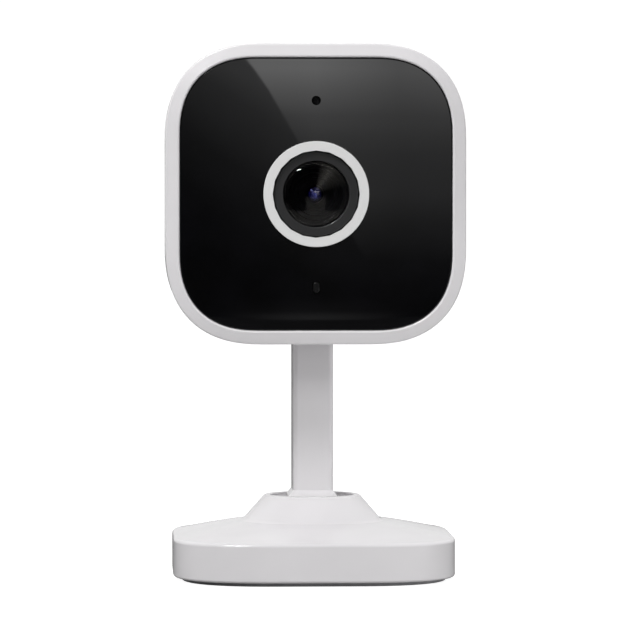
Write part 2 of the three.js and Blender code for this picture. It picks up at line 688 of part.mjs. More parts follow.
function cardSocket() {
  const front = boardBack + FIT;
  const back = front + CARD_SLOT + 0.5;
  const reach = CARD_WIDTH / 2 + CARD_WALL;
  const outside = cavityHalf - CARD_INSET;
  const body = box([outside - CARD_LENGTH, front, cardRise - reach], [outside, back, cardRise + reach]);
  const mouth = box(
    [outside - CARD_LENGTH + CARD_WALL, front + 0.3, cardRise - CARD_WIDTH / 2 - SLIDE_FIT],
    [outside + 1, back - 0.4, cardRise + CARD_WIDTH / 2 + SLIDE_FIT],
  );
  return cut(body, mouth);
}

function speaker() {
  const back = backInside - SPEAKER_GASKET - 2 * FIT;
  const front = back - SPEAKER_DEPTH;
  return turned([
    [0, front], [SPEAKER_RADIUS * 0.6, front], [SPEAKER_RADIUS * 0.6, front + 1.4],
    [SPEAKER_RADIUS, front + 2], [SPEAKER_RADIUS, back], [SPEAKER_RADIUS - SPEAKER_RIM, back],
    [SPEAKER_RADIUS - 2.6, back - 0.8], [SPEAKER_RADIUS * 0.45, back - 0.4], [0, back - 0.1],
  ], 24);
}

function speakerGasket() {
  const front = backInside - FIT - SPEAKER_GASKET;
  const ring = tube(SPEAKER_RADIUS, SPEAKER_RADIUS - SPEAKER_RIM, front, backInside - FIT);
  return ring.translate(0, 0, speakerRise);
}

// ---------------------------------------------------------------- button and tilt joint

const switchBack = boardBack + FIT + 1.8;

function resetButton() {
  const front = switchBack + BUTTON_TRAVEL + 0.05;
  const flange = backInside - 1.2;
  return turned([
    [0, front], [BUTTON_RADIUS * 0.7, front], [BUTTON_RADIUS * 0.7, flange],
    [BUTTON_RADIUS + 0.7, flange], [BUTTON_RADIUS + 0.7, flange + 0.9],
    [BUTTON_RADIUS, flange + 0.9], [BUTTON_RADIUS, HEAD_DEPTH - 0.15],
    [BUTTON_RADIUS - 0.15, HEAD_DEPTH], [0, HEAD_DEPTH],
  ], 12);
}

function tiltScrew() {
  const reach = earHalf + FIT;
  return turned([
    [0, -reach - HINGE_HEAD_THICK], [HINGE_HEAD - 0.8, -reach - HINGE_HEAD_THICK],
    [HINGE_HEAD, -reach - HINGE_HEAD_THICK + 0.6], [HINGE_HEAD, -reach], [HINGE_SHANK, -reach],
    [HINGE_SHANK, reach + NUT_THICK + 0.4], [0, reach + NUT_THICK + 0.8],
  ], 16).rotateZ(-Math.PI / 2);
}

function tiltNut() {
  const start = earHalf + FIT;
  const hex = new THREE.CylinderGeometry(NUT_RADIUS, NUT_RADIUS, NUT_THICK, 6)
    .translate(0, start + NUT_THICK / 2, 0);
  return cut(hex, bar(HINGE_SHANK + SHANK_FIT, 0, 2 * start + NUT_THICK, 16)).rotateZ(-Math.PI / 2);
}

const frictionWasher = () => tube(STEM_DEPTH / 2 - 0.9, HINGE_SHANK + SHANK_FIT,
  STEM_WIDTH / 2 + FIT, STEM_WIDTH / 2 + FIT + WASHER_THICK, 16).rotateZ(-Math.PI / 2);

// ---------------------------------------------------------------- stem

const stripBottom = footTop + STRIP_GAP;
const stripTop = hingeHeight - STEM_DEPTH / 2 - STRIP_GAP;
const stripHalf = STEM_WIDTH / 2 - STEM_EDGE;

/** An upright bar with rounded long edges. */
const upright = (width, depth, low, high, round) =>
  plate(0, 0, width, depth, low, high, round).rotateX(Math.PI / 2);

function stem() {
  const shaft = upright(STEM_WIDTH, STEM_DEPTH, footTop - 0.05, hingeHeight, STEM_EDGE);
  const knuckle = axle(STEM_DEPTH / 2, -STEM_WIDTH / 2, STEM_WIDTH / 2, 28).translate(0, 0, hingeHeight);
  const foot = squareFoot();
  const spigot = post(SPIGOT_RADIUS, spigotEnd, footBottom + 0.5, 24);
  const hingeHole = axle(HINGE_SHANK + SHANK_FIT, -STEM_WIDTH, STEM_WIDTH, 16).translate(0, 0, hingeHeight);
  const screwHole = post(SWIVEL_SCREW_SHANK + SHANK_FIT, 0, spigotEnd + SWIVEL_SCREW_LENGTH, 12);
  const channel = box(
    [-stripHalf + STRIP_LEDGE, -STEM_DEPTH / 2 + STEM_WALL, stripBottom + STRIP_LEDGE],
    [stripHalf - STRIP_LEDGE, STEM_DEPTH, stripTop - STRIP_LEDGE],
  );
  const rebate = box(
    [-stripHalf, STEM_DEPTH / 2 - STEM_WALL, stripBottom],
    [stripHalf, STEM_DEPTH, stripTop],
  );
  return cut(join(shaft, knuckle, foot, spigot), hingeHole, screwHole, channel, rebate);
}

/** The foot spreads below the stem and stands upright in the boss's recess. */
function squareFoot() {
  const lower = upright(footWidth, footDepth, footBottom, footTop - FOOT_FLARE, footRound);
  const slab = upright(footWidth, footDepth, footBottom, footTop, footRound);
  const position = slab.attributes.position;
  for (let i = 0; i < position.count; i += 1) {
    if (position.getZ(i) > footBottom + 0.1) {
      position.setX(i, (position.getX(i) * STEM_WIDTH) / footWidth);
      position.setY(i, (position.getY(i) * STEM_DEPTH) / footDepth);
    } else {
      position.setZ(i, footTop - FOOT_FLARE - 0.02);
    }
  }
  return join(lower, slab);
}

const springInner = SPIGOT_RADIUS + 0.3;
const springOuter = RETAINER_RADIUS - 0.4;
const springBottom = spigotEnd + SLIDE_FIT;
const screwBore = SWIVEL_SCREW_SHANK + SHANK_FIT;

const stemStrip = () => box(
  [-stripHalf + FIT, STEM_DEPTH / 2 - STEM_WALL + FIT, stripBottom + FIT],
  [stripHalf - FIT, STEM_DEPTH / 2, stripTop - FIT],
);

const retainerTop = spigotEnd - FIT;
const retainerBottom = retainerTop - RETAINER_THICK;

const swivelSpring = () => turnedUp([
  [springInner, springBottom], [springOuter, springBottom], [springOuter, springBottom + SPRING_THICK],
  [springInner, springBottom + SPRING_THICK], [springInner, springBottom],
]);

const swivelRetainer = () => turnedUp([
  [screwBore, retainerBottom], [RETAINER_RADIUS, retainerBottom], [RETAINER_RADIUS, retainerTop],
  [screwBore, retainerTop], [screwBore, retainerBottom],
]);

const swivelScrew = () =>
  screw(SWIVEL_SCREW_LENGTH, SWIVEL_SCREW_SHANK, SWIVEL_SCREW_HEAD, SWIVEL_SCREW_HEAD_THICK)
  .rotateX(-Math.PI / 2)
  .translate(0, 0, retainerBottom - FIT);

// ---------------------------------------------------------------- base

const basePostInset = baseHalf - BASE_POST_INSET;
const basePosts = corners(basePostInset, basePostInset);

function baseCover() {
  const slopeOut = baseHalf - BASE_EDGE;
  const slope = [1, 2, 3].map((step) => {
    const share = step / 4;
    const half = THREE.MathUtils.lerp(slopeOut, bossFoot, share);
    const height = THREE.MathUtils.lerp(BASE_RIM_HEIGHT, BOSS_FOOT_HEIGHT, share);
    return [half, height + 4 * SLOPE_BULGE * share * (1 - share)];
  });
  const skin = baseTurned([
    [baseHalf - PLATE_REBATE, WALL_LIFT],
    [baseHalf, WALL_LIFT],
    ...arc(slopeOut, BASE_RIM_HEIGHT - BASE_EDGE, BASE_EDGE, 0, 90, 3),
    ...slope,
    [bossFoot + 0.9, BOSS_FOOT_HEIGHT - 0.05],
    [bossFoot, BOSS_FOOT_HEIGHT + 0.25],
    [bossFoot - 0.8, BOSS_FOOT_HEIGHT + 0.9],
    [bossTop + 0.2, BOSS_HEIGHT - 0.5],
    [bossTop - 0.1, BOSS_HEIGHT - 0.1],
    [bossTop - 0.4, BOSS_HEIGHT],
    [1, BOSS_HEIGHT],
    [1, ceiling],
    [bossTop - 1.5, ceiling],
    [bossFoot - 1.5, BOSS_FOOT_HEIGHT - BASE_WALL + 0.2],
    [baseHalf - BASE_WALL - 1.5, BASE_RIM_HEIGHT - BASE_WALL],
    [baseHalf - BASE_WALL, BASE_RIM_HEIGHT - BASE_WALL - 1],
    [baseHalf - BASE_WALL, plateTop + SLIDE_FIT],
    [baseHalf - PLATE_REBATE, plateTop + SLIDE_FIT],
    [baseHalf - PLATE_REBATE, WALL_LIFT],
  ]);
  const recess = post(recessRadius, recessFloor, BOSS_HEIGHT + 1, 28);
  const bore = post(SPIGOT_RADIUS + SWIVEL_GAP, 0, BOSS_HEIGHT + 1, 24);
  const postTop = BASE_RIM_HEIGHT + 0.2;
  const studs = basePosts.map(([x, y]) =>
    post(BASE_POST_RADIUS, plateTop + FIT, postTop, 12).translate(x, y, 0));
  const pilots = basePosts.map(([x, y]) =>
    post(BASE_SCREW_SHANK + SHANK_FIT, 0, postTop - 0.8, 10).translate(x, y, 0));
  return cut(join(skin, ...studs), recess, bore, ...pilots);
}

function basePlate() {
  const slab = baseSlab(baseHalf - PLATE_REBATE - SLIDE_FIT, PAD_THICK + FIT, plateTop);
  const holes = basePosts.flatMap(([x, y]) => [
    post(BASE_SCREW_SHANK + SHANK_FIT, 0, plateTop + 1, 10).translate(x, y, 0),
    post(SCREW_HEAD + 2 * FIT, 0, PAD_THICK + FIT + SCREW_HEAD_THICK + FIT, 12).translate(x, y, 0),
  ]);
  return cut(slab, ...holes);
}

const baseScrew = ([x, y]) => screw(BASE_SCREW_LENGTH, BASE_SCREW_SHANK)
  .rotateX(-Math.PI / 2)
  .translate(x, y, PAD_THICK + 2 * FIT + SCREW_HEAD_THICK);

function ballast() {
  const top = BASE_RIM_HEIGHT - BASE_WALL - 0.4;
  const slab = baseSlab(basePostInset + BALLAST_REACH, plateTop + FIT, top);
  const notches = basePosts.map(([x, y]) => post(BASE_POST_RADIUS + 0.4, 0, top + 1, 12).translate(x, y, 0));
  return cut(slab, ...notches);
}

const rubberPad = () => baseSlab(baseHalf - PAD_INSET, 0, PAD_THICK);

// ---------------------------------------------------------------- assembly

const camera = new THREE.Group();

const base = new THREE.Group();
base.add(
  named('base_cover', baseCover(), white),
  named('base_plate', basePlate(), blackMatt),
  named('ballast', ballast(), darkSteel),
  named('rubber_pad', rubberPad(), rubber),
);
basePosts.forEach((place, i) => base.add(named(`base_screw_${i + 1}`, baseScrew(place), steel)));

const neck = new THREE.Group();
neck.add(
  named('stem', stem(), white),
  named('stem_strip', stemStrip(), white),
  named('swivel_spring', swivelSpring(), steel),
  named('swivel_retainer', swivelRetainer(), steel),
  named('swivel_screw', swivelScrew(), steel),
);

const head = new THREE.Group();
head.position.set(0, -faceForward, LENS_HEIGHT);
head.add(
  named('front_shell', frontShell(), white),
  named('rear_shell', rearShell(), white),
  named('front_panel', frontPanel(), blackGloss),
  named('lens_ring', lensRing(), ringWhite),
  named('lens_gasket', tube(gasketOuter, gasketInner, panelBack + FIT, gasketBack, 28), foam),
  named('lens_hood', lensHood(), darkGrey),
  named('front_glass', frontGlass(), lensGlass),
  named('lens_barrel', lensBarrel(), blackMatt),
  named('inner_element', innerElement(), coatedGlass),
  named('lens_holder', lensHolder(), blackMatt),
  named('filter_coil', filterCoil(), amber),
  named('image_sensor', block(0, 0, 8.4, 7.4, SENSOR_BOARD_Y - 1.1, SENSOR_BOARD_Y - FIT), siliconDark),
  named('sensor_board', sensorBoard(), board),
  named('led_board', ledBoard(), board),
  named('microphone', block(0, SENSE_DROP, 3.8, 3, ledBoardY - 1.2, ledBoardY - FIT), steel),
  named('light_guide', plate(0, -SENSE_DROP, WINDOW_WIDTH - 2 * FIT, WINDOW_HEIGHT - 2 * FIT,
    PANEL_RECESS, ledBoardY - FIT, 0.5), smokedGlass),
  named('mid_frame', midFrame(), blackMatt),
  named('main_board', mainBoard(), board),
  named('processor_shield', plate(0, boardTop - 6.8, 16, 10, mainBoardY - FIT - SHIELD_THICK,
    mainBoardY - FIT, 0.8), steel),
  named('radio_shield', plate(-BUTTON_OFFSET, portDrop + 1.5, 10, 11, boardBack + FIT,
    boardBack + FIT + SHIELD_THICK, 0.8), steel),
  named('radio_antenna', block(0, cavityHalf - 0.5, 26, 0.5, PARTING + 4, PARTING + 11), amber),
  named('speaker', speaker().translate(0, 0, speakerRise), blackMatt),
  named('speaker_gasket', speakerGasket(), foam),
  named('usb_socket', usbSocket(), steel),
  named('card_socket', cardSocket(), steel),
  named('reset_switch', block(BUTTON_OFFSET, portDrop, 4.5, 4.5, boardBack + FIT, switchBack), steel),
  named('tilt_screw', tiltScrew().translate(0, faceForward, hingeDrop), steel),
  named('tilt_nut', tiltNut().translate(0, faceForward, hingeDrop), steel),
  named('tilt_washer_right', frictionWasher().translate(0, faceForward, hingeDrop), blackMatt),
  named('tilt_washer_left', frictionWasher().rotateZ(Math.PI).translate(0, faceForward, hingeDrop),
    blackMatt),
);
ledPlaces.forEach(([x, z], i) => {
  head.add(named(`infrared_led_${i + 1}`, infraredLed().translate(x, 0, z), ledClear));
});
frameScrewPlaces.forEach(([x, z], i) => {
  const place = screw(frameBack - ledgeBack - 1).translate(x, frameBack + FIT, z);
  head.add(named(`frame_screw_${i + 1}`, place, steel));
});
holderScrewPlaces.forEach(([x, z], i) => {
  const seat = SENSOR_BOARD_Y + BOARD_THICK + FIT;
  head.add(named(`holder_screw_${i + 1}`, screw(seat - frameY - 3).translate(x, seat, z), steel));
});
boardScrewPlaces.forEach(([x, z], i) => {
  head.add(named(`board_screw_${i + 1}`, screw(6).translate(x, boardBack + FIT, z), steel));
});

const filter = new THREE.Group();
filter.add(
  named('filter_frame', filterFrame(), blackMatt),
  named('infrared_filter', filterPane(0), coatedGlass),
  named('clear_pane', filterPane(FILTER_PITCH), lensGlass),
);
head.add(filter, named('reset_button', resetButton().translate(BUTTON_OFFSET, 0, portDrop), blackMatt));

camera.add(base, neck, head);

export default camera;
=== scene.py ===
"""Small indoor security camera on a stem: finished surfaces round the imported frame.

Meshes are built in millimetres and brought to metres when they become objects. Every place and
overall size is read from the frame; the fields of each class hold the small sizes of its own pieces.
"""

import logging
import math
from dataclasses import dataclass
from enum import Enum
from typing import Callable, Iterable, Sequence

import bmesh
import bpy
from mathutils import Matrix, Quaternion, Vector


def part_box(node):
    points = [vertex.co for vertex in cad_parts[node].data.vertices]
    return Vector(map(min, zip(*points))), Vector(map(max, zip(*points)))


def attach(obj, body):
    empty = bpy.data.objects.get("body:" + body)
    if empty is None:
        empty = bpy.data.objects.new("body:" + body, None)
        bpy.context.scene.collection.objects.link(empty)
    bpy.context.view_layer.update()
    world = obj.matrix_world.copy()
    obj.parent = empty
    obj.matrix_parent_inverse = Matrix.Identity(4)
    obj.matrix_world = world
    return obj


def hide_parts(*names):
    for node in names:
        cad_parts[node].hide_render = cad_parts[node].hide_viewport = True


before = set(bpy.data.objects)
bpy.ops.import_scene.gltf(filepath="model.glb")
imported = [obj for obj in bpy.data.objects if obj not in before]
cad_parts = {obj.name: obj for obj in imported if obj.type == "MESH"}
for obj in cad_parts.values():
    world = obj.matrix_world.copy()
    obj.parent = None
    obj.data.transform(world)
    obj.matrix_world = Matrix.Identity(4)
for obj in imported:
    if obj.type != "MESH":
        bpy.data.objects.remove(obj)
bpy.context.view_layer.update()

LOG = logging.getLogger("security_camera")
MM = 0.001
FIT = 0.1  # gap between pieces that are fixed together
ROUND_STEPS = 96  # sides of a turned piece that is seen close
CORNER_STEPS = 20  # sides of each soft corner
FLAT_STEPS = 4  # sides of each straight stretch between two soft corners
CLOSE = 1e-4

Corner = tuple[float, float] | tuple[float, float, float]
Value = bpy.types.NodeSocket | float | tuple | None


# ---------------------------------------------------------------- colours and nodes


def linear(colour: str) -> tuple[float, float, float, float]:
    """Turns an sRGB hex colour to linear values.

    Args:
        colour: The colour as "#rrggbb".

    Returns:
        Red, green, blue and a full alpha.
    """
    shares = [int(colour[i : i + 2], 16) / 255 for i in (1, 3, 5)]
    bright = [s / 12.92 if s <= 0.04045 else ((s + 0.055) / 1.055) ** 2.4 for s in shares]
    return (*bright, 1.0)


def per_metre(size_mm: float) -> float:
    """Gives the texture scale whose features are about size_mm across."""
    return 1 / (size_mm * MM)


def add_node(
    tree: bpy.types.NodeTree,
    kind: str,
    settings: dict[str, object] | None = None,
    inputs: dict[str | int, Value] | None = None,
) -> bpy.types.Node:
    """Adds a node with its settings and its links.

    Args:
        tree: The node tree that gets the node.
        kind: The node's type name.
        settings: Values of the node's own properties.
        inputs: A socket to link from, or a plain value, for each named or numbered input.

    Returns:
        The new node.
    """
    node = tree.nodes.new(kind)
    for name, value in (settings or {}).items():
        setattr(node, name, value)
    for name, value in (inputs or {}).items():
        if isinstance(value, bpy.types.NodeSocket):
            tree.links.new(value, node.inputs[name])
        else:
            node.inputs[name].default_value = value
    return node


def add_ramp(
    tree: bpy.types.NodeTree,
    factor: bpy.types.NodeSocket,
    stops: Sequence[tuple[float, tuple[float, float, float, float]]],
) -> bpy.types.NodeSocket:
    """Adds a colour ramp.

    Args:
        tree: The node tree that gets the ramp.
        factor: What the ramp reads.
        stops: Place and linear colour of each stop, in order.

    Returns:
        The ramp's colour socket.
    """
    node = add_node(tree, "ShaderNodeValToRGB", None, {"Fac": factor})
    ramp = node.color_ramp
    ramp.elements[0].position, ramp.elements[0].color = stops[0]
    ramp.elements[1].position, ramp.elements[1].color = stops[-1]
    for place, colour in stops[1:-1]:
        ramp.elements.new(place).color = colour
    return node.outputs["Color"]


# ---------------------------------------------------------------- finishes


def add_span(
    tree: bpy.types.NodeTree,
    value: bpy.types.NodeSocket,
    source: tuple[float, float],
    target: tuple[float, float] = (0.0, 1.0),
    smooth: bool = False,
) -> bpy.types.NodeSocket:
    """Adds a node that carries one span of values over to another.

    Args:
        tree: The node tree that gets the node.
        value: What the node reads.
        source: Where the span that it reads begins and ends.
        target: What it gives there.
        smooth: Whether it eases in and out.

    Returns:
        The node's value socket.
    """
    settings = {"interpolation_type": "SMOOTHSTEP"} if smooth else None
    spans = dict(zip(("From Min", "From Max", "To Min", "To Max"), source + target))
    node = add_node(tree, "ShaderNodeMapRange", settings, {"Value": value, **spans})
    return node.outputs["Result"]


def add_maths(tree: bpy.types.NodeTree, operation: str, *values: Value) -> bpy.types.NodeSocket:
    """Adds a node of arithmetic.

    Args:
        tree: The node tree that gets the node.
        operation: What the node does, by its own name for it.
        *values: What it reads, in order.

    Returns:
        The node's value socket.
    """
    node = add_node(tree, "ShaderNodeMath", {"operation": operation}, dict(enumerate(values)))
    return node.outputs["Value"]


def blank_material(name: str) -> bpy.types.Material:
    """Makes a material with an empty node tree.

    Args:
        name: The material's name.

    Returns:
        The material.
    """
    made = bpy.data.materials.new(name)
    made.use_nodes = True
    made.node_tree.nodes.clear()
    return made


@dataclass(frozen=True)
class Surface:
    """A material under way.

    Attributes:
        tree: Its node tree.
        shader: Its Principled shader.
        place: Object coordinates, in metres.
    """

    tree: bpy.types.NodeTree
    shader: bpy.types.Node
    place: bpy.types.NodeSocket

    def add(
        self,
        kind: str,
        settings: dict[str, object] | None = None,
        inputs: dict[str | int, Value] | None = None,
    ) -> bpy.types.Node:
        """Adds a node to the material, as add_node does."""
        return add_node(self.tree, kind, settings, inputs)

    def noise(
        self, size_mm: float, detail: float = 2.0, place: bpy.types.NodeSocket | None = None
    ) -> bpy.types.NodeSocket:
        """Adds noise whose lumps are about size_mm across.

        Args:
            size_mm: Size of a lump.
            detail: How much finer noise lies on it.
            place: Other coordinates than the material's own.

        Returns:
            The noise's value socket.
        """
        node = self.add(
            "ShaderNodeTexNoise",
            {"normalize": True},
            {"Vector": place or self.place, "Scale": per_metre(size_mm), "Detail": detail},
        )
        return node.outputs["Fac"]

    def tint(
        self,
        colour: str,
        factor: bpy.types.NodeSocket,
        other: str,
        low: float = 0.35,
        high: float = 0.65,
    ) -> None:
        """Varies the base colour towards another colour.

        Args:
            colour: Main colour, sRGB hex.
            factor: Pattern that the variation follows.
            other: Colour at the pattern's high places, sRGB hex.
            low: Pattern value where the main colour ends.
            high: Pattern value where the other colour is full.
        """
        varied = add_ramp(self.tree, factor, [(low, linear(colour)), (high, linear(other))])
        self.tree.links.new(varied, self.shader.inputs["Base Color"])

    def relief(self, height: bpy.types.NodeSocket, depth_mm: float) -> None:
        """Gives the surface a relief.

        Args:
            height: Pattern of the relief.
            depth_mm: How deep it is from its lowest to its highest place.
        """
        bump = self.add(
            "ShaderNodeBump", None, {"Height": height, "Strength": 1.0, "Distance": depth_mm * MM}
        )
        self.tree.links.new(bump.outputs["Normal"], self.shader.inputs["Normal"])

    def vary_roughness(self, roughness: float, factor: bpy.types.NodeSocket, spread: float) -> None:
        """Varies the roughness either side of its value.

        Args:
            roughness: The roughness in the middle.
            factor: Pattern that the variation follows.
            spread: How far it goes up and down.
        """
        least, most = max(0.0, roughness - spread), roughness + spread
        span = self.add("ShaderNodeMapRange", None, {"Value": factor, "To Min": least, "To Max": most})
        self.tree.links.new(span.outputs["Result"], self.shader.inputs["Roughness"])


@dataclass(frozen=True)
class Finish:
    """A surface finish: a real material and how its surface was made.

    Attributes:
        name: Name of the material.
        colour: Main colour, sRGB hex.
        roughness: Principled roughness.
        ior: Index of refraction; a metal keeps the default.
    """

    name: str
    colour: str
    roughness: float
    ior: float = 1.5

    def material(self) -> bpy.types.Material:
        """Gives the finish's material, made once.

        Returns:
            The material.
        """
        made = bpy.data.materials.get(self.name)
        if made is not None:
            return made
        made = blank_material(self.name)
        tree = made.node_tree
        shader = add_node(
            tree,
            "ShaderNodeBsdfPrincipled",
            None,
            {"Base Color": linear(self.colour), "Roughness": self.roughness, "IOR": self.ior},
        )
        add_node(tree, "ShaderNodeOutputMaterial", None, {"Surface": shader.outputs["BSDF"]})
        place = add_node(tree, "ShaderNodeTexCoord").outputs["Object"]
        self.dress(Surface(tree, shader, place))
        return made

    def dress(self, skin: Surface) -> None:
        """Adds the finish's own pattern to the material under way."""


@dataclass(frozen=True)
class MouldedPlastic(Finish):
    """Injection-moulded plastic: fine spark-eroded grain, faint flow marks, soft gloss."""

    second: str = "#dcdbdd"
    grain_mm: float = 0.35
    depth_mm: float = 0.0012
    spread: float = 0.05
    coat: float = 0.0

    def dress(self, skin: Surface) -> None:
        """Adds grain, flow marks and slight differences of gloss.

        Args:
            skin: The material under way.
        """
        flow = skin.noise(22.0, 3.0)
        skin.tint(self.colour, flow, self.second)
        skin.vary_roughness(self.roughness, skin.noise(6.0), self.spread)
        skin.relief(skin.noise(self.grain_mm), self.depth_mm)
        skin.shader.inputs["Coat Weight"].default_value = self.coat
        skin.shader.inputs["Coat Roughness"].default_value = 0.12


@dataclass(frozen=True)
class PolishedAcrylic(Finish):
    """Cast acrylic, tinted black and flame polished: a dark mirror with faint wiping marks."""

    def dress(self, skin: Surface) -> None:
        """Adds wiping marks that only the gloss shows.

        Args:
            skin: The material under way.
        """
        stretched = skin.add(
            "ShaderNodeMapping",
            None,
            {"Vector": skin.place, "Rotation": (0.0, 0.6, 0.0), "Scale": (1.0, 1.0, 0.12)},
        )
        wiped = skin.noise(1.6, 4.0, stretched.outputs["Vector"])
        skin.vary_roughness(self.roughness, wiped, 0.006)
        skin.tint(self.colour, skin.noise(9.0), "#08080a")


@dataclass(frozen=True)
class OpticalGlass(Finish):
    """Ground and coated glass: clear, with the weak reflection of an anti-reflection coating."""

    bloom: str = "#f3efe6"

    def dress(self, skin: Surface) -> None:
        """Makes the glass clear and its coating faintly coloured.

        Args:
            skin: The material under way.
        """
        skin.shader.inputs["Transmission Weight"].default_value = 1.0
        skin.shader.inputs["Specular Tint"].default_value = linear(self.bloom)
        skin.tint(self.colour, skin.noise(4.0), "#f6f6fb")
        # Lamps have to reach what lies behind the glass, so the glass casts no shadow.
        shadow = skin.add("ShaderNodeLightPath").outputs["Is Shadow Ray"]
        clear = skin.add("ShaderNodeBsdfTransparent")
        output = next(node for node in skin.tree.nodes if node.type == "OUTPUT_MATERIAL")
        mixed = skin.add(
            "ShaderNodeMixShader",
            None,
            {0: shadow, 1: skin.shader.outputs["BSDF"], 2: clear.outputs["BSDF"]},
        )
        skin.tree.links.new(mixed.outputs["Shader"], output.inputs["Surface"])


@dataclass(frozen=True)
class LensCoating(Finish):
    """Vacuum-coated inner lens: deep blue to violet, with a painted reflection bright in its middle and
    painted shade dark at its rim.
    """

    # rim is painted shade at the element's edge; the heart colour is a painted reflection in its middle.
    rim: str = "#05041a"
    painted_reflection_heart: str = "#4a50b0"
    bloom: str = "#b4b8ff"
    reach_mm: float = 1.5

    def dress(self, skin: Surface) -> None:
        """Paints the coating from its middle out: a bright painted reflection in the middle and painted shade
        at the rim, with a fine mottle.

        Args:
            skin: The material under way.
        """
        low, high = read_box("inner_element")
        middle = (low + high) / 2 * MM
        centred = skin.add(
            "ShaderNodeMapping", None, {"Vector": skin.place, "Location": tuple(-middle)}
        )
        flat = skin.add(
            "ShaderNodeVectorMath",
            {"operation": "MULTIPLY"},
            {0: centred.outputs["Vector"], 1: (1.0, 0.0, 1.0)},
        )
        reach = skin.add(
            "ShaderNodeVectorMath", {"operation": "LENGTH"}, {0: flat.outputs["Vector"]}
        )
        share = skin.add(
            "ShaderNodeMath",
            {"operation": "DIVIDE"},
            {0: reach.outputs["Value"], 1: self.reach_mm * MM},
        )
        mottle = skin.noise(0.5)
        shifted = skin.add(
            "ShaderNodeMath",
            {"operation": "MULTIPLY_ADD"},
            {0: mottle, 1: 0.25, 2: share.outputs["Value"]},
        )
        # Painted reflection in the middle, the coating's own colour between, painted shade at the rim.
        stops = [(0.15, linear(self.painted_reflection_heart)), (0.6, linear(self.colour)), (1.0, linear(self.rim))]
        colour = add_ramp(skin.tree, shifted.outputs["Value"], stops)
        skin.tree.links.new(colour, skin.shader.inputs["Base Color"])
        skin.shader.inputs["Transmission Weight"].default_value = 0.4
        skin.shader.inputs["Specular Tint"].default_value = linear(self.bloom)


@dataclass(frozen=True)
class MouldedRubber(Finish):
    """Moulded silicone rubber: matt, slightly dusty, with a fine orange peel."""

    def dress(self, skin: Surface) -> None:
        """Adds dust and orange peel.

        Args:
            skin: The material under way.
        """
        skin.tint(self.colour, skin.noise(3.0, 5.0), "#919193")
        skin.relief(skin.noise(0.4), 0.01)
        skin.shader.inputs["Sheen Weight"].default_value = 0.15
        skin.shader.inputs["Sheen Roughness"].default_value = 0.5


@dataclass(frozen=True)
class PressedSteel(Finish):
    """Rolled steel, pressed and plated: a metal with fine rolling lines and soft stains."""

    line_mm: float = 0.12
    second: str = "#9fa1a5"

    def dress(self, skin: Surface) -> None:
        """Adds rolling lines along x and stains.

        Args:
            skin: The material under way.
        """
        skin.shader.inputs["Metallic"].default_value = 1.0
        drawn = skin.add(
            "ShaderNodeMapping", None, {"Vector": skin.place, "Scale": (0.04, 1.0, 1.0)}
        )
        lines = skin.noise(self.line_mm, 3.0, drawn.outputs["Vector"])
        skin.tint(self.colour, skin.noise(5.0), self.second)
        skin.vary_roughness(self.roughness, lines, 0.08)
        skin.relief(lines, 0.0015)


@dataclass(frozen=True)
class CastSteel(Finish):
    """Sand-cast steel with a dark oxide skin: pitted and uneven."""

    def dress(self, skin: Surface) -> None:
        """Adds pits and patches of oxide.

        Args:
            skin: The material under way.
        """
        skin.shader.inputs["Metallic"].default_value = 0.85
        skin.tint(self.colour, skin.noise(4.0, 6.0), "#2f2e2d")
        skin.relief(skin.noise(0.9, 6.0), 0.08)


@dataclass(frozen=True)
class CircuitLaminate(Finish):
    """Glass-fibre laminate under green solder mask, with copper tracks that show through."""

    track: str = "#2c6b3c"
    pitch_mm: float = 0.9

    def dress(self, skin: Surface) -> None:
        """Draws tracks as the edges of blocks, slightly raised.

        Args:
            skin: The material under way.
        """
        turned = skin.add(
            "ShaderNodeMapping", None, {"Vector": skin.place, "Rotation": (math.pi / 2, 0.0, 0.0)}
        )
        blocks = skin.add(
            "ShaderNodeTexBrick",
            {"offset": 0.37, "squash": 0.7},
            {
                "Vector": turned.outputs["Vector"],
                "Color1": linear(self.colour),
                "Color2": linear("#0f3520"),
                "Mortar": linear(self.track),
                "Scale": per_metre(self.pitch_mm * 4),
                "Mortar Size": 0.04,
                "Bias": 0.0,
                "Brick Width": 1.6,
                "Row Height": 0.5,
            },
        )
        skin.tree.links.new(blocks.outputs["Color"], skin.shader.inputs["Base Color"])
        skin.relief(blocks.outputs["Fac"], 0.02)
        skin.shader.inputs["Coat Weight"].default_value = 0.4


@dataclass(frozen=True)
class CellFoam(Finish):
    """Cut closed-cell foam: open half cells on every cut face."""

    cell_mm: float = 0.35

    def dress(self, skin: Surface) -> None:
        """Draws the cut cells.

        Args:
            skin: The material under way.
        """
        cells = skin.add(
            "ShaderNodeTexVoronoi", None, {"Vector": skin.place, "Scale": per_metre(self.cell_mm)}
        )
        skin.tint(self.colour, cells.outputs["Distance"], "#303031", 0.2, 0.7)
        skin.relief(cells.outputs["Distance"], 0.12)


@dataclass(frozen=True)
class SensorDie(Finish):
    """Silicon under a colour filter array: dark, glossy, with a faint shift of colour."""

    def dress(self, skin: Surface) -> None:
        """Shifts the colour over the face and draws the array as a fine grid.

        Args:
            skin: The material under way.
        """
        grid = skin.add(
            "ShaderNodeTexChecker",
            None,
            {
                "Vector": skin.place,
                "Color1": linear(self.colour),
                "Color2": linear("#2a3a44"),
                "Scale": per_metre(0.12),
            },
        )
        skin.tree.links.new(grid.outputs["Color"], skin.shader.inputs["Base Color"])
        skin.vary_roughness(self.roughness, skin.noise(2.0), 0.05)
        skin.shader.inputs["Coat Weight"].default_value = 1.0


@dataclass(frozen=True)
class TintedResin(Finish):
    """Cast or moulded clear resin with a dark tint: light goes in and little comes back."""

    clear: float = 0.6
    swirl: str = "#1d1d1e"

    def dress(self, skin: Surface) -> None:
        """Lets light through and adds faint swirls from the casting.

        Args:
            skin: The material under way.
        """
        skin.shader.inputs["Transmission Weight"].default_value = self.clear
        skin.tint(self.colour, skin.noise(1.2, 4.0), self.swirl)
        skin.vary_roughness(self.roughness, skin.noise(0.8), 0.04)


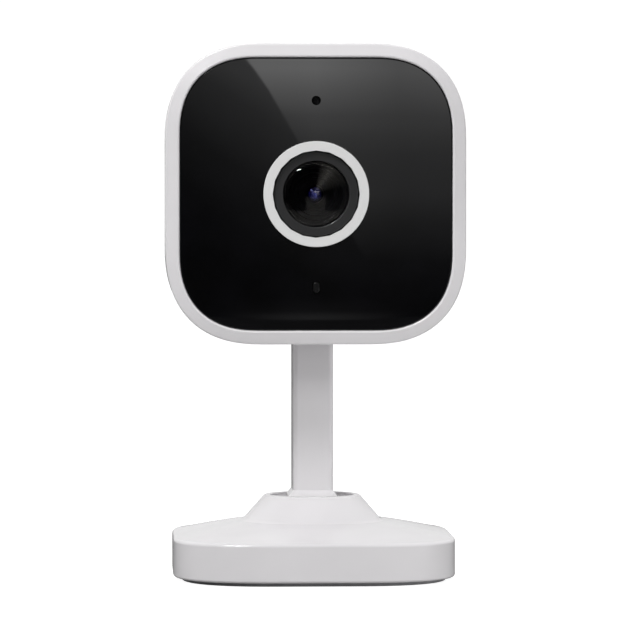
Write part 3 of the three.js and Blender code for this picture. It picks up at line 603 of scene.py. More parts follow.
@dataclass(frozen=True)
class CopperFilm(Finish):
    """Copper under amber polyimide film: fine parallel tracks under a glossy skin."""

    pitch_mm: float = 0.4

    def dress(self, skin: Surface) -> None:
        """Draws the tracks and their slight relief.

        Args:
            skin: The material under way.
        """
        tracks = skin.add(
            "ShaderNodeTexWave",
            {"bands_direction": "X"},
            {"Vector": skin.place, "Scale": per_metre(self.pitch_mm) / math.tau, "Distortion": 0.4},
        )
        skin.tint(self.colour, tracks.outputs["Fac"], "#c98a3a", 0.4, 0.6)
        skin.relief(tracks.outputs["Fac"], 0.01)
        skin.shader.inputs["Coat Weight"].default_value = 0.6


@dataclass(frozen=True)
class WovenCloth(Finish):
    """Woven polyester dust cloth: crossed threads, dull and open."""

    thread_mm: float = 0.3

    def dress(self, skin: Surface) -> None:
        """Crosses two sets of threads.

        Args:
            skin: The material under way.
        """
        scale = per_metre(self.thread_mm) / math.tau
        warp, weft = (
            skin.add(
                "ShaderNodeTexWave",
                {"bands_direction": direction},
                {"Vector": skin.place, "Scale": scale, "Distortion": 0.6, "Detail Scale": 2.0},
            )
            for direction in ("X", "Z")
        )
        crossed = skin.add(
            "ShaderNodeMath",
            {"operation": "MAXIMUM"},
            {0: warp.outputs["Fac"], 1: weft.outputs["Fac"]},
        )
        skin.tint(self.colour, crossed.outputs["Value"], "#242426", 0.3, 0.9)
        skin.relief(crossed.outputs["Value"], 0.06)
        skin.shader.inputs["Sheen Weight"].default_value = 0.3


class Slot(Enum):
    """The record's material slots, each with the finish that dresses it."""

    # ABS, injection moulded and lightly polished: clean cool white with a soft gloss.
    WHITE_HOUSING = (
        "white_housing",
        MouldedPlastic("abs_moulded_white", "#e9e7e9", 0.21, 1.53, "#e5e3e5", 0.35, 0.0012, 0.03),
    )
    # Acrylic, tinted black: reads as a dark mirror.
    BLACK_PANEL = ("black_panel", PolishedAcrylic("acrylic_polished_black", "#050506", 0.012, 1.49))
    # ABS, moulded in a matt tool: even pale grey, no highlight.
    RING_PLASTIC = (
        "ring_plastic",
        MouldedPlastic("abs_moulded_matt", "#e6e6e5", 0.55, 1.53, "#e3e3e3", 0.2, 0.002),
    )
    # Glass-filled nylon, moulded: dark grey with a dull sheen.
    HOOD_PLASTIC = (
        "hood_plastic",
        MouldedPlastic("nylon_moulded_grey", "#303031", 0.42, 1.5, "#2c2c2d", 0.25, 0.003),
    )
    # Polycarbonate, moulded black with a fine texture.
    BLACK_PLASTIC = (
        "black_plastic",
        MouldedPlastic("polycarbonate_moulded_black", "#0c0c0d", 0.42, 1.58, "#131314", 0.3, 0.004),
    )
    # Optical glass, ground and coated: clear, with crisp small reflections.
    LENS_GLASS = ("lens_glass", OpticalGlass("glass_ground_coated", "#ffffff", 0.0, 1.5))
    # Optical glass under a blue-violet vacuum coating, with a painted reflection in its middle and painted
    # shade at its rim.
    COATED_GLASS = ("coated_glass", LensCoating("glass_vacuum_coated", "#15134a", 0.07, 2.3))
    # Polycarbonate, smoked: a window that shows a shade lighter than the panel.
    SMOKED_WINDOW = (
        "smoked_window",
        TintedResin("polycarbonate_smoked", "#0d0d0e", 0.25, 1.5, 0.2, "#101011"),
    )
    # Glass-fibre laminate with solder mask.
    CIRCUIT_BOARD = ("circuit_board", CircuitLaminate("laminate_solder_masked", "#123f26", 0.35, 1.52))
    # Steel, pressed and nickel plated.
    PLATED_STEEL = ("plated_steel", PressedSteel("steel_pressed_nickel_plated", "#c4c5c8", 0.26))
    # Steel, sand cast, left with its oxide.
    BALLAST_STEEL = ("ballast_steel", CastSteel("steel_sand_cast", "#4b4947", 0.6))
    # Closed-cell foam, die cut.
    SEAL_FOAM = ("seal_foam", CellFoam("foam_die_cut", "#1c1c1d", 0.9))
    # Silicone rubber, moulded.
    PAD_RUBBER = ("pad_rubber", MouldedRubber("silicone_moulded_grey", "#868688", 0.75, 1.41))
    # Silicon die with its filter array.
    SENSOR_CHIP = ("sensor_chip", SensorDie("silicon_filter_array", "#1a1c26", 0.2, 1.6))
    # Epoxy, cast dark red.
    LED_RESIN = ("led_resin", TintedResin("epoxy_cast_dark", "#4a2028", 0.08, 1.55, 0.6, "#3a3436"))
    # Copper and polyimide film.
    AMBER_FILM = ("amber_film", CopperFilm("polyimide_copper_film", "#8d4d16", 0.3, 1.7))

    def __init__(self, slot: str, finish: Finish) -> None:
        """Keeps the slot's name and its finish."""
        self.slot = slot
        self.finish = finish


# ABS from a polished tool: the base's slope mirrors the stem softly.
BASE_WHITE = MouldedPlastic("abs_moulded_white_polished", "#e3e1e3", 0.13, 1.6, "#dddbdd", 0.35, 0.0006, 0.03)
# Black anodised and baffled inside of the lens: swallows nearly all light.
LENS_BLACK = MouldedPlastic("polycarbonate_flocked_black", "#040405", 0.45, 1.12, "#060607", 0.3, 0.002)
CLOTH = WovenCloth("polyester_woven_black", "#0e0e0f", 0.9)


# ---------------------------------------------------------------- shaping


def read_box(node: str) -> tuple[Vector, Vector]:
    """Gives a node's lowest and highest corners, in millimetres."""
    low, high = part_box(node)
    return low / MM, high / MM


def rounded(corners: Sequence[Corner], closed: bool, steps: int = 6) -> list[tuple[float, float]]:
    """Rounds the corners of an outline with true arcs.

    Args:
        corners: Each corner's two coordinates and, where it is rounded, its radius.
        closed: Whether the last corner joins the first.
        steps: Segments in each arc.

    Returns:
        The outline's points.
    """
    points: list[tuple[float, float]] = []
    count = len(corners)
    for i, corner in enumerate(corners):
        here = Vector(corner[:2])
        radius = corner[2] if len(corner) > 2 else 0.0
        if radius <= 0 or (not closed and i in (0, count - 1)):
            points.append((here.x, here.y))
            continue
        back = Vector(corners[i - 1][:2]) - here
        ahead = Vector(corners[(i + 1) % count][:2]) - here
        half = back.angle(ahead) / 2
        reach = radius / math.tan(half)
        start = here + back.normalized() * reach
        end = here + ahead.normalized() * reach
        middle = here + (back.normalized() + ahead.normalized()).normalized() * radius / math.sin(half)
        sweep = (start - middle).angle_signed(end - middle)
        for step in range(steps + 1):
            turn = Matrix.Rotation(-sweep * step / steps, 2)
            spoke = turn @ (start - middle)
            points.append((middle.x + spoke.x, middle.y + spoke.y))
    return points


def spun(corners: Sequence[Corner], closed: bool = True, steps: int = ROUND_STEPS) -> bmesh.types.BMesh:
    """Spins an outline of (radius, y) about the y axis and closes its ends.

    Args:
        corners: The outline, with its rounded corners.
        closed: Whether the outline closes on itself.
        steps: Sides of the turned shape.

    Returns:
        The closed shape.
    """
    bm = bmesh.new()
    verts = [bm.verts.new((0.0, along, radius)) for radius, along in rounded(corners, closed)]
    pairs = list(zip(verts, verts[1:]))
    if closed:
        pairs.append((verts[-1], verts[0]))
    edges = [bm.edges.new(pair) for pair in pairs]
    bmesh.ops.spin(
        bm,
        geom=verts + edges,
        cent=(0, 0, 0),
        axis=(0, 1, 0),
        dvec=(0, 0, 0),
        angle=math.tau,
        steps=steps,
        use_merge=True,
        use_duplicate=False,
    )
    bmesh.ops.remove_doubles(bm, verts=bm.verts, dist=CLOSE)
    open_edges = [edge for edge in bm.edges if edge.is_boundary]
    if open_edges:
        bmesh.ops.edgeloop_fill(bm, edges=open_edges)
    bmesh.ops.recalc_face_normals(bm, faces=bm.faces)
    return bm


@dataclass(frozen=True)
class SoftSquare:
    """A square outline whose soft corners are parts of a superellipse.

    Attributes:
        half: Half its width at its widest.
        corner: How far a corner reaches along each side there.
        power: The superellipse's power; 2 is a round corner.
        shrink: How fast the corner's reach falls as the outline is drawn in; 1 keeps it parallel.
    """

    half: float
    corner: float
    power: float
    shrink: float = 1.0

    def corner_at(self, half: float) -> tuple[float, float]:
        """Gives the corner's reach and power where the half width is that."""
        return self.corner - (self.half - half) * self.shrink, self.power

    def push(self, bm: bmesh.types.BMesh) -> bmesh.types.BMesh:
        """Pushes a shape that was spun about y from round to soft square.

        Args:
            bm: The shape, spun with steps sides.

        Returns:
            The same shape.
        """
        quarter = CORNER_STEPS + FLAT_STEPS
        for vert in bm.verts:
            half = math.hypot(vert.co.x, vert.co.z)
            if half < CLOSE:
                continue
            turn = math.atan2(vert.co.x, vert.co.z) / math.tau
            step = round(turn * 4 * quarter) % (4 * quarter)
            side, step = divmod(step, quarter)
            corner, power = self.corner_at(half)
            if step <= CORNER_STEPS:
                angle = math.pi / 2 * step / CORNER_STEPS
                along = half - corner + corner * max(0.0, math.cos(angle)) ** (2 / power)
                across = half - corner + corner * max(0.0, math.sin(angle)) ** (2 / power)
            else:
                along = (half - corner) * (1 - 2 * (step - CORNER_STEPS) / FLAT_STEPS)
                across = half
            start = math.pi / 2 * side
            vert.co.x = along * math.sin(start) + across * math.cos(start)
            vert.co.z = along * math.cos(start) - across * math.sin(start)
        return bm

    def turned(self, corners: Sequence[Corner], closed: bool = True) -> bmesh.types.BMesh:
        """Spins an outline of (half width, y) and pushes it square."""
        return self.push(spun(corners, closed, 4 * (CORNER_STEPS + FLAT_STEPS)))


@dataclass(frozen=True)
class BossedSquare(SoftSquare):
    """The base's outline: nearly round at the boss, squarer towards the wall."""

    boss_half: float = 8.85
    boss_share: float = 0.966
    boss_power: float = 2.2

    def corner_at(self, half: float) -> tuple[float, float]:
        """Gives the corner's shape where the outline is that wide.

        Args:
            half: Half the width there.

        Returns:
            The corner's reach and its power.
        """
        share = (half - self.boss_half) / (self.half - self.boss_half)
        share = min(1.0, max(0.0, share))
        reach = self.boss_share + (self.corner / self.half - self.boss_share) * share
        return half * reach, self.boss_power + (self.power - self.boss_power) * share


def upright(bm: bmesh.types.BMesh) -> bmesh.types.BMesh:
    """Turns a shape that was spun about y so that its axis stands up."""
    bmesh.ops.rotate(bm, cent=(0, 0, 0), matrix=Matrix.Rotation(math.pi / 2, 3, "X"), verts=bm.verts)
    return bm


def sideways(bm: bmesh.types.BMesh) -> bmesh.types.BMesh:
    """Turns a shape that was spun about y so that its axis lies along x."""
    bmesh.ops.rotate(bm, cent=(0, 0, 0), matrix=Matrix.Rotation(-math.pi / 2, 3, "Z"), verts=bm.verts)
    return bm


def moved(bm: bmesh.types.BMesh, x: float = 0.0, y: float = 0.0, z: float = 0.0) -> bmesh.types.BMesh:
    """Moves a shape."""
    bmesh.ops.translate(bm, vec=(x, y, z), verts=bm.verts)
    return bm


def block(low: Sequence[float], high: Sequence[float]) -> bmesh.types.BMesh:
    """Makes a block between two corners.

    Args:
        low: Its lowest corner.
        high: Its highest corner.

    Returns:
        The closed shape.
    """
    bm = bmesh.new()
    middle = (Vector(low) + Vector(high)) / 2
    size = Vector(high) - Vector(low)
    bmesh.ops.create_cube(bm, size=1.0, matrix=Matrix.Translation(middle) @ Matrix.Diagonal((*size, 1.0)))
    return bm


def prism(corners: Sequence[Corner], left: float, right: float) -> bmesh.types.BMesh:
    """Extrudes an outline of (y, z) along x.

    Args:
        corners: The outline, with its rounded corners.
        left: Where it starts along x.
        right: Where it ends.

    Returns:
        The closed shape.
    """
    bm = bmesh.new()
    face = bm.faces.new([bm.verts.new((left, y, z)) for y, z in rounded(corners, True, 10)])
    grown = bmesh.ops.extrude_face_region(bm, geom=[face])
    raised = [part for part in grown["geom"] if isinstance(part, bmesh.types.BMVert)]
    bmesh.ops.translate(bm, vec=(right - left, 0, 0), verts=raised)
    bmesh.ops.recalc_face_normals(bm, faces=bm.faces)
    return bm


def plate(
    width: float, height: float, corner: float, levels: Sequence[tuple[float, float]]
) -> bmesh.types.BMesh:
    """Lofts a rectangle with round corners along y.

    Args:
        width: Its width along x.
        height: Its height along z.
        corner: Radius of its corners.
        levels: Each level's y and how far the outline grows there.

    Returns:
        The closed shape, about the y axis.
    """
    bm = bmesh.new()
    w, h = width / 2, height / 2
    start = levels[0][0]
    sides = [(w, h, corner), (-w, h, corner), (-w, -h, corner), (w, -h, corner)]
    face = bm.faces.new([bm.verts.new((x, start, z)) for x, z in rounded(sides, True)])
    last = levels[0][1]
    bmesh.ops.scale(bm, vec=(1 + last / w, 1, 1 + last / h), verts=bm.verts)
    for level, (along, grow) in enumerate(levels[1:]):
        grown = bmesh.ops.extrude_face_region(bm, geom=[face])
        if level > 0:
            bmesh.ops.delete(bm, geom=[face], context="FACES_ONLY")
        face = next(part for part in grown["geom"] if isinstance(part, bmesh.types.BMFace))
        for vert in face.verts:
            vert.co.x *= (w + grow) / (w + last)
            vert.co.z *= (h + grow) / (h + last)
            vert.co.y = along
        last = grow
    bmesh.ops.recalc_face_normals(bm, faces=bm.faces)
    return bm


def sharp_edges(
    bm: bmesh.types.BMesh, wanted: Callable[[Vector], bool], least: float = 35.0
) -> list[bmesh.types.BMEdge]:
    """Finds the sharp outward edges whose two ends are both wanted.

    Args:
        bm: The shape.
        wanted: Test on the place of an edge's end.
        least: Least angle of a sharp edge, in degrees.

    Returns:
        The edges.
    """
    found = []
    for edge in bm.edges:
        if len(edge.link_faces) != 2 or not edge.is_convex:
            continue
        if edge.calc_face_angle(0.0) > math.radians(least) and all(wanted(v.co) for v in edge.verts):
            found.append(edge)
    return found


def soften(
    bm: bmesh.types.BMesh, edges: Iterable[bmesh.types.BMEdge], width: float, segments: int = 3
) -> bmesh.types.BMesh:
    """Rounds edges.

    Args:
        bm: The shape.
        edges: The edges to round.
        width: How far the rounding reaches along each face.
        segments: Steps across it.

    Returns:
        The same shape.
    """
    bmesh.ops.bevel(
        bm,
        geom=list(edges),
        offset=width,
        offset_type="OFFSET",
        segments=segments,
        profile=0.5,
        affect="EDGES",
        clamp_overlap=True,
        material=-1,
    )
    return bm


class Join(Enum):
    """How one shape meets another."""

    ADD = "UNION"
    TAKE = "DIFFERENCE"


def to_object(bm: bmesh.types.BMesh, name: str) -> bpy.types.Object:
    """Makes a linked object of a shape and frees the shape.

    Args:
        bm: The shape; it is used up.
        name: The object's name.

    Returns:
        The object, in the shape's own units.
    """
    mesh = bpy.data.meshes.new(name)
    bm.to_mesh(mesh)
    bm.free()
    made = bpy.data.objects.new(name, mesh)
    bpy.context.scene.collection.objects.link(made)
    return made


def combined(
    body: bmesh.types.BMesh, tools: Sequence[bmesh.types.BMesh], how: Join
) -> bmesh.types.BMesh:
    """Joins tools to a body, or cuts them out of it.

    Args:
        body: The shape that is changed; it is used up.
        tools: Shapes that don't touch each other; they are used up.
        how: Whether the tools are added or taken away.

    Returns:
        The new shape.
    """
    whole = bmesh.new()
    for tool in tools:
        part = bpy.data.meshes.new("tool")
        tool.to_mesh(part)
        tool.free()
        whole.from_mesh(part)
        bpy.data.meshes.remove(part)
    target, cutter = to_object(body, "target"), to_object(whole, "cutter")
    modifier = target.modifiers.new("combine", "BOOLEAN")
    modifier.object = cutter
    modifier.operation = how.value
    modifier.solver = "EXACT"
    result = bpy.data.meshes.new_from_object(
        target.evaluated_get(bpy.context.evaluated_depsgraph_get())
    )
    made = bmesh.new()
    made.from_mesh(result)
    bmesh.ops.remove_doubles(made, verts=made.verts, dist=CLOSE)
    bmesh.ops.dissolve_degenerate(made, edges=made.edges, dist=CLOSE)
    for spent in (target, cutter):
        mesh = spent.data
        bpy.data.objects.remove(spent)
        bpy.data.meshes.remove(mesh)
    bpy.data.meshes.remove(result)
    return made


def piece(
    bm: bmesh.types.BMesh,
    name: str,
    body: str,
    slot: Slot,
    stands_for: Sequence[str] = (),
    finish: Finish | None = None,
    crease: float = 30.0,
) -> bpy.types.Object:
    """Makes a finished piece of a shape.

    Args:
        bm: The shape, in millimetres; it is used up.
        name: The piece's name.
        body: The body that it moves with.
        slot: The record's slot that it takes its finish from.
        stands_for: CAD nodes that it replaces.
        finish: Another finish than the slot's own.
        crease: Least angle that stays a hard edge, in degrees.

    Returns:
        The new object, at the origin.
    """
    bmesh.ops.scale(bm, vec=(MM, MM, MM), verts=bm.verts)
    made = to_object(bm, name)
    made.data.materials.append((finish or slot.finish).material())
    made.data.shade_smooth()
    made.data.set_sharp_from_angle(angle=math.radians(crease))
    weighted = made.modifiers.new("weighted_normals", "WEIGHTED_NORMAL")
    weighted.keep_sharp = True
    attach(made, body)
    if stands_for:
        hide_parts(*stands_for)
    LOG.info("piece %s on %s", name, body)
    return made


def dress_node(node: str, slot: Slot) -> None:
    """Gives a CAD node that keeps its own mesh its finish.

    Args:
        node: The node's name.
        slot: The record's slot of its finish.
    """
    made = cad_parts[node]
    if not made.data.materials:
        made.data.materials.append(None)
    for index in range(len(made.data.materials)):
        made.data.materials[index] = slot.finish.material()
    LOG.info("node %s in %s", node, slot.finish.name)


# ---------------------------------------------------------------- base


@dataclass
class Base:
    """The weighted base: a cover with a boss, a rubber pad and what they hold."""

    corner: float = 19.0
    power: float = 2.6
    rim_height: float = 8.0
    edge: float = 0.8
    bulge: float = 0.12
    slope_steps: int = 8
    wall: float = 2.0
    rebate: float = 1.4
    boss_half: float = 8.85
    boss_spread: float = 4.55
    boss_foot_height: float = 10.62
    recess_radius: float = 7.95
    recess_depth: float = 0.5
    post_radius: float = 2.6
    pilot_radius: float = 1.1
    spring_width: float = 2.1
    bore_gap: float = 0.1
    pad_swell: float = 0.25

    def __post_init__(self) -> None:
        """Reads the base's places from the frame."""
        self.low, self.high = read_box("base_cover")
        self.outline = BossedSquare(self.high.x, self.corner, self.power, boss_half=self.boss_half)

    def cover(self) -> None:
        """Builds the cover: wall, slope, boss and the recess for the stem's foot."""
        half, top = self.high.x, self.high.z
        foot = self.boss_half + self.boss_spread
        rise = self.boss_foot_height - self.rim_height
        slope: list[Corner] = []
        for i in range(1, self.slope_steps):
            share = i / self.slope_steps
            out = half - self.edge + (foot + 1.4 - half + self.edge) * share
            height = self.rim_height + rise * share * 0.93 + 4 * self.bulge * share * (1 - share)
            slope.append((out, height))
        ceiling = top - self.recess_depth - self.wall
        plate_top = read_box("base_plate")[1].z + 2 * FIT
        inner = half - self.wall
        skin = self.outline.turned(
            [
                (half - self.rebate, self.low.z),
                (half, self.low.z, 0.5),
                (half, self.rim_height - self.edge * 0.1, self.edge * 0.9),
                *slope,
                (foot - 0.3, self.boss_foot_height + 0.1, 1.6),
                (self.boss_half + 0.2, top, 0.8),
                (2.0, top),
                (2.0, ceiling),
                (self.boss_half - 1.5, ceiling),
                (foot - 1.5, self.boss_foot_height - self.wall + 0.2),
                (inner - 1.5, self.rim_height - self.wall),
                (inner, self.rim_height - self.wall - 1),
                (inner, plate_top),
                (half - self.rebate, plate_top),
            ]
        )
        body = upright(skin)
        screws = [read_box(f"base_screw_{i}") for i in (1, 2, 3, 4)]
        middles = [((low + high) / 2, high.z) for low, high in screws]
        stud = [(0.0, plate_top), (self.post_radius, plate_top), (self.post_radius, self.rim_height - 0.8)]
        stud.append((0.0, self.rim_height - 0.8))
        studs = [moved(upright(spun(stud, False, 24)), m.x, m.y) for m, _ in middles]
        body = combined(body, studs, Join.ADD)
        hole = read_box("swivel_spring")[1].x - self.spring_width + self.bore_gap
        recess = [
            (0.0, self.low.z - 1),
            (hole, self.low.z - 1),
            (hole, top - self.recess_depth),
            (self.recess_radius, top - self.recess_depth, 0.15),
            (self.recess_radius, top - 0.15),
            (self.recess_radius + 0.2, top + 0.05),
            (self.recess_radius + 0.2, top + 1),
            (0.0, top + 1),
        ]
        pilot = self.pilot_radius
        pilots = [
            moved(upright(spun([(0.0, 0.0), (pilot, 0.0), (pilot, end), (0.0, end)], False, 16)), m.x, m.y)
            for m, end in middles
        ]
        body = combined(body, [upright(spun(recess, False)), *pilots], Join.TAKE)
        piece(body, "base_cover_shell", "base", Slot.WHITE_HOUSING, ["base_cover"], BASE_WHITE)

    def pad(self) -> None:
        """Builds the rubber pad, with its edge rounded and a shallow groove round its foot."""
        low, high = read_box("rubber_pad")
        half = high.x + self.pad_swell
        outline = [
            (half - 8.0, high.z),
            (half, high.z, 0.1),
            (half, low.z, 0.12),
            (half - 2.4, low.z),
            (half - 2.6, low.z + 0.2),
            (half - 3.4, low.z + 0.2),
            (half - 3.6, low.z),
            (half - 8.0, low.z),
        ]
        pad = upright(self.outline.turned(outline, False))
        piece(pad, "rubber_pad_moulded", "base", Slot.PAD_RUBBER, ["rubber_pad"])

    def build(self) -> None:
        """Builds and dresses the whole base."""
        self.cover()
        self.pad()
        dress_node("base_plate", Slot.BLACK_PLASTIC)
        dress_node("ballast", Slot.BALLAST_STEEL)
        for i in (1, 2, 3, 4):
            dress_node(f"base_screw_{i}", Slot.PLATED_STEEL)


# ---------------------------------------------------------------- stem


@dataclass
class Stem:
    """The stem, with its flared foot, its spigot and the strip in its back."""

    shaft_half: float = 3.8
    shaft_depth: float = 5.5
    edge: float = 1.0
    flare: float = 0.8
    flare_height: float = 1.1
    foot_line: float = 16.5
    foot_bottom: float = 15.0
    flare_steps: int = 6
    spigot_radius: float = 4.4
    hinge_hole: float = 1.6
    screw_bore: float = 1.2
    ledge: float = 0.6

    def __post_init__(self) -> None:
        """Reads the stem's places from the frame."""
        self.low, self.high = read_box("stem")
        self.hinge = self.high.z - self.shaft_depth

    def shaft(self) -> bmesh.types.BMesh:
        """Builds the shaft with its round top, rounds its long edges and flares its foot.

        Returns:
            The closed shape.
        """
        depth = self.shaft_depth
        outline = [
            (depth, self.foot_line),
            (depth, self.high.z, depth),
            (-depth, self.high.z, depth),
            (-depth, self.foot_line),
        ]
        bm = prism(outline, -self.shaft_half, self.shaft_half)
        bmesh.ops.remove_doubles(bm, verts=bm.verts, dist=CLOSE)
        side_edges = [
            edge
            for edge in bm.edges
            if abs(edge.verts[0].co.x - edge.verts[1].co.x) < CLOSE
            and min(v.co.z for v in edge.verts) < self.high.z
            and max(v.co.z for v in edge.verts) > self.foot_line + CLOSE
        ]
        soften(bm, side_edges, self.edge, 6)
        floor = [face for face in bm.faces if all(v.co.z < self.foot_line + CLOSE for v in face.verts)]
        bmesh.ops.delete(bm, geom=floor, context="FACES")
        rim = [edge for edge in bm.edges if edge.is_boundary]
        for step in range(1, self.flare_steps + 2):
            grown = bmesh.ops.extrude_edge_only(bm, edges=rim)
            ring = [part for part in grown["geom"] if isinstance(part, bmesh.types.BMVert)]
            rim = [part for part in grown["geom"] if isinstance(part, bmesh.types.BMEdge)]
            self.lower(ring, step)
        bmesh.ops.edgeloop_fill(bm, edges=rim)
        bmesh.ops.recalc_face_normals(bm, faces=bm.faces)
        return bm

    def lower(self, ring: Sequence[bmesh.types.BMVert], step: int) -> None:
        """Places one ring of the foot's flare.

        Args:
            ring: The ring's points, still at the height of the ring above.
            step: Which ring it is; the last stands on the boss.
        """
        share = min(step, self.flare_steps) / self.flare_steps
        before = self.flare * min(step - 1, self.flare_steps) / self.flare_steps
        grow = self.flare * share
        height = self.foot_line - self.flare_height * share
        if step > self.flare_steps:
            height = self.foot_bottom
        for vert in ring:
            vert.co.x *= (self.shaft_half + grow) / (self.shaft_half + before)
            vert.co.y *= (self.shaft_depth + grow) / (self.shaft_depth + before)
            vert.co.z = height

    def stem(self) -> None:
        """Builds the stem and cuts its hinge hole, screw hole and channel."""
        spigot_end = self.low.z
        radius = self.spigot_radius
        spigot = [(0.0, spigot_end), (radius, spigot_end, 0.3), (radius, self.foot_bottom + 0.4)]
        spigot.append((0.0, self.foot_bottom + 0.4))
        body = combined(self.shaft(), [upright(spun(spigot, False, 48))], Join.ADD)
        hole = self.hinge_hole
        across = [(0.0, -6.0), (hole, -6.0), (hole, 6.0), (0.0, 6.0)]
        bore, bore_end = self.screw_bore, read_box("swivel_screw")[1].z + 1.0
        up = [(0.0, 0.0), (bore, 0.0), (bore, bore_end), (0.0, bore_end)]
        low, high = read_box("stem_strip")
        rebate = block(
            (low.x - FIT, low.y - FIT, low.z - FIT), (high.x + FIT, high.y + 2, high.z + FIT)
        )
        ledge = self.ledge
        channel = block(
            (low.x + ledge - FIT, -high.y + 1.6, low.z + ledge - FIT),
            (high.x - ledge + FIT, high.y - 0.5, high.z - ledge + FIT),
        )
        hinge = moved(sideways(spun(across, False, 32)), 0.0, 0.0, self.hinge)
        body = combined(body, [rebate, hinge, upright(spun(up, False, 24))], Join.TAKE)
        body = combined(body, [channel], Join.TAKE)
        mouth = sharp_edges(body, lambda co: abs(co.y - self.shaft_depth) < 0.01 and abs(co.x) < 3.0)
        soften(body, mouth, 0.15, 2)
        piece(body, "stem_moulded", "stem", Slot.WHITE_HOUSING, ["stem"])

    def strip(self) -> None:
        """Builds the strip that closes the channel, with soft outer edges."""
        low, high = read_box("stem_strip")
        bm = block(low, high)
        outer = sharp_edges(bm, lambda co: abs(co.y - high.y) < 0.01)
        soften(bm, outer, 0.2)
        piece(bm, "stem_strip_moulded", "stem", Slot.WHITE_HOUSING, ["stem_strip"])

    def build(self) -> None:
        """Builds and dresses the stem and what turns with it."""
        self.stem()
        self.strip()
        for node in ("swivel_spring", "swivel_retainer", "swivel_screw"):
            dress_node(node, Slot.PLATED_STEEL)


# ---------------------------------------------------------------- head


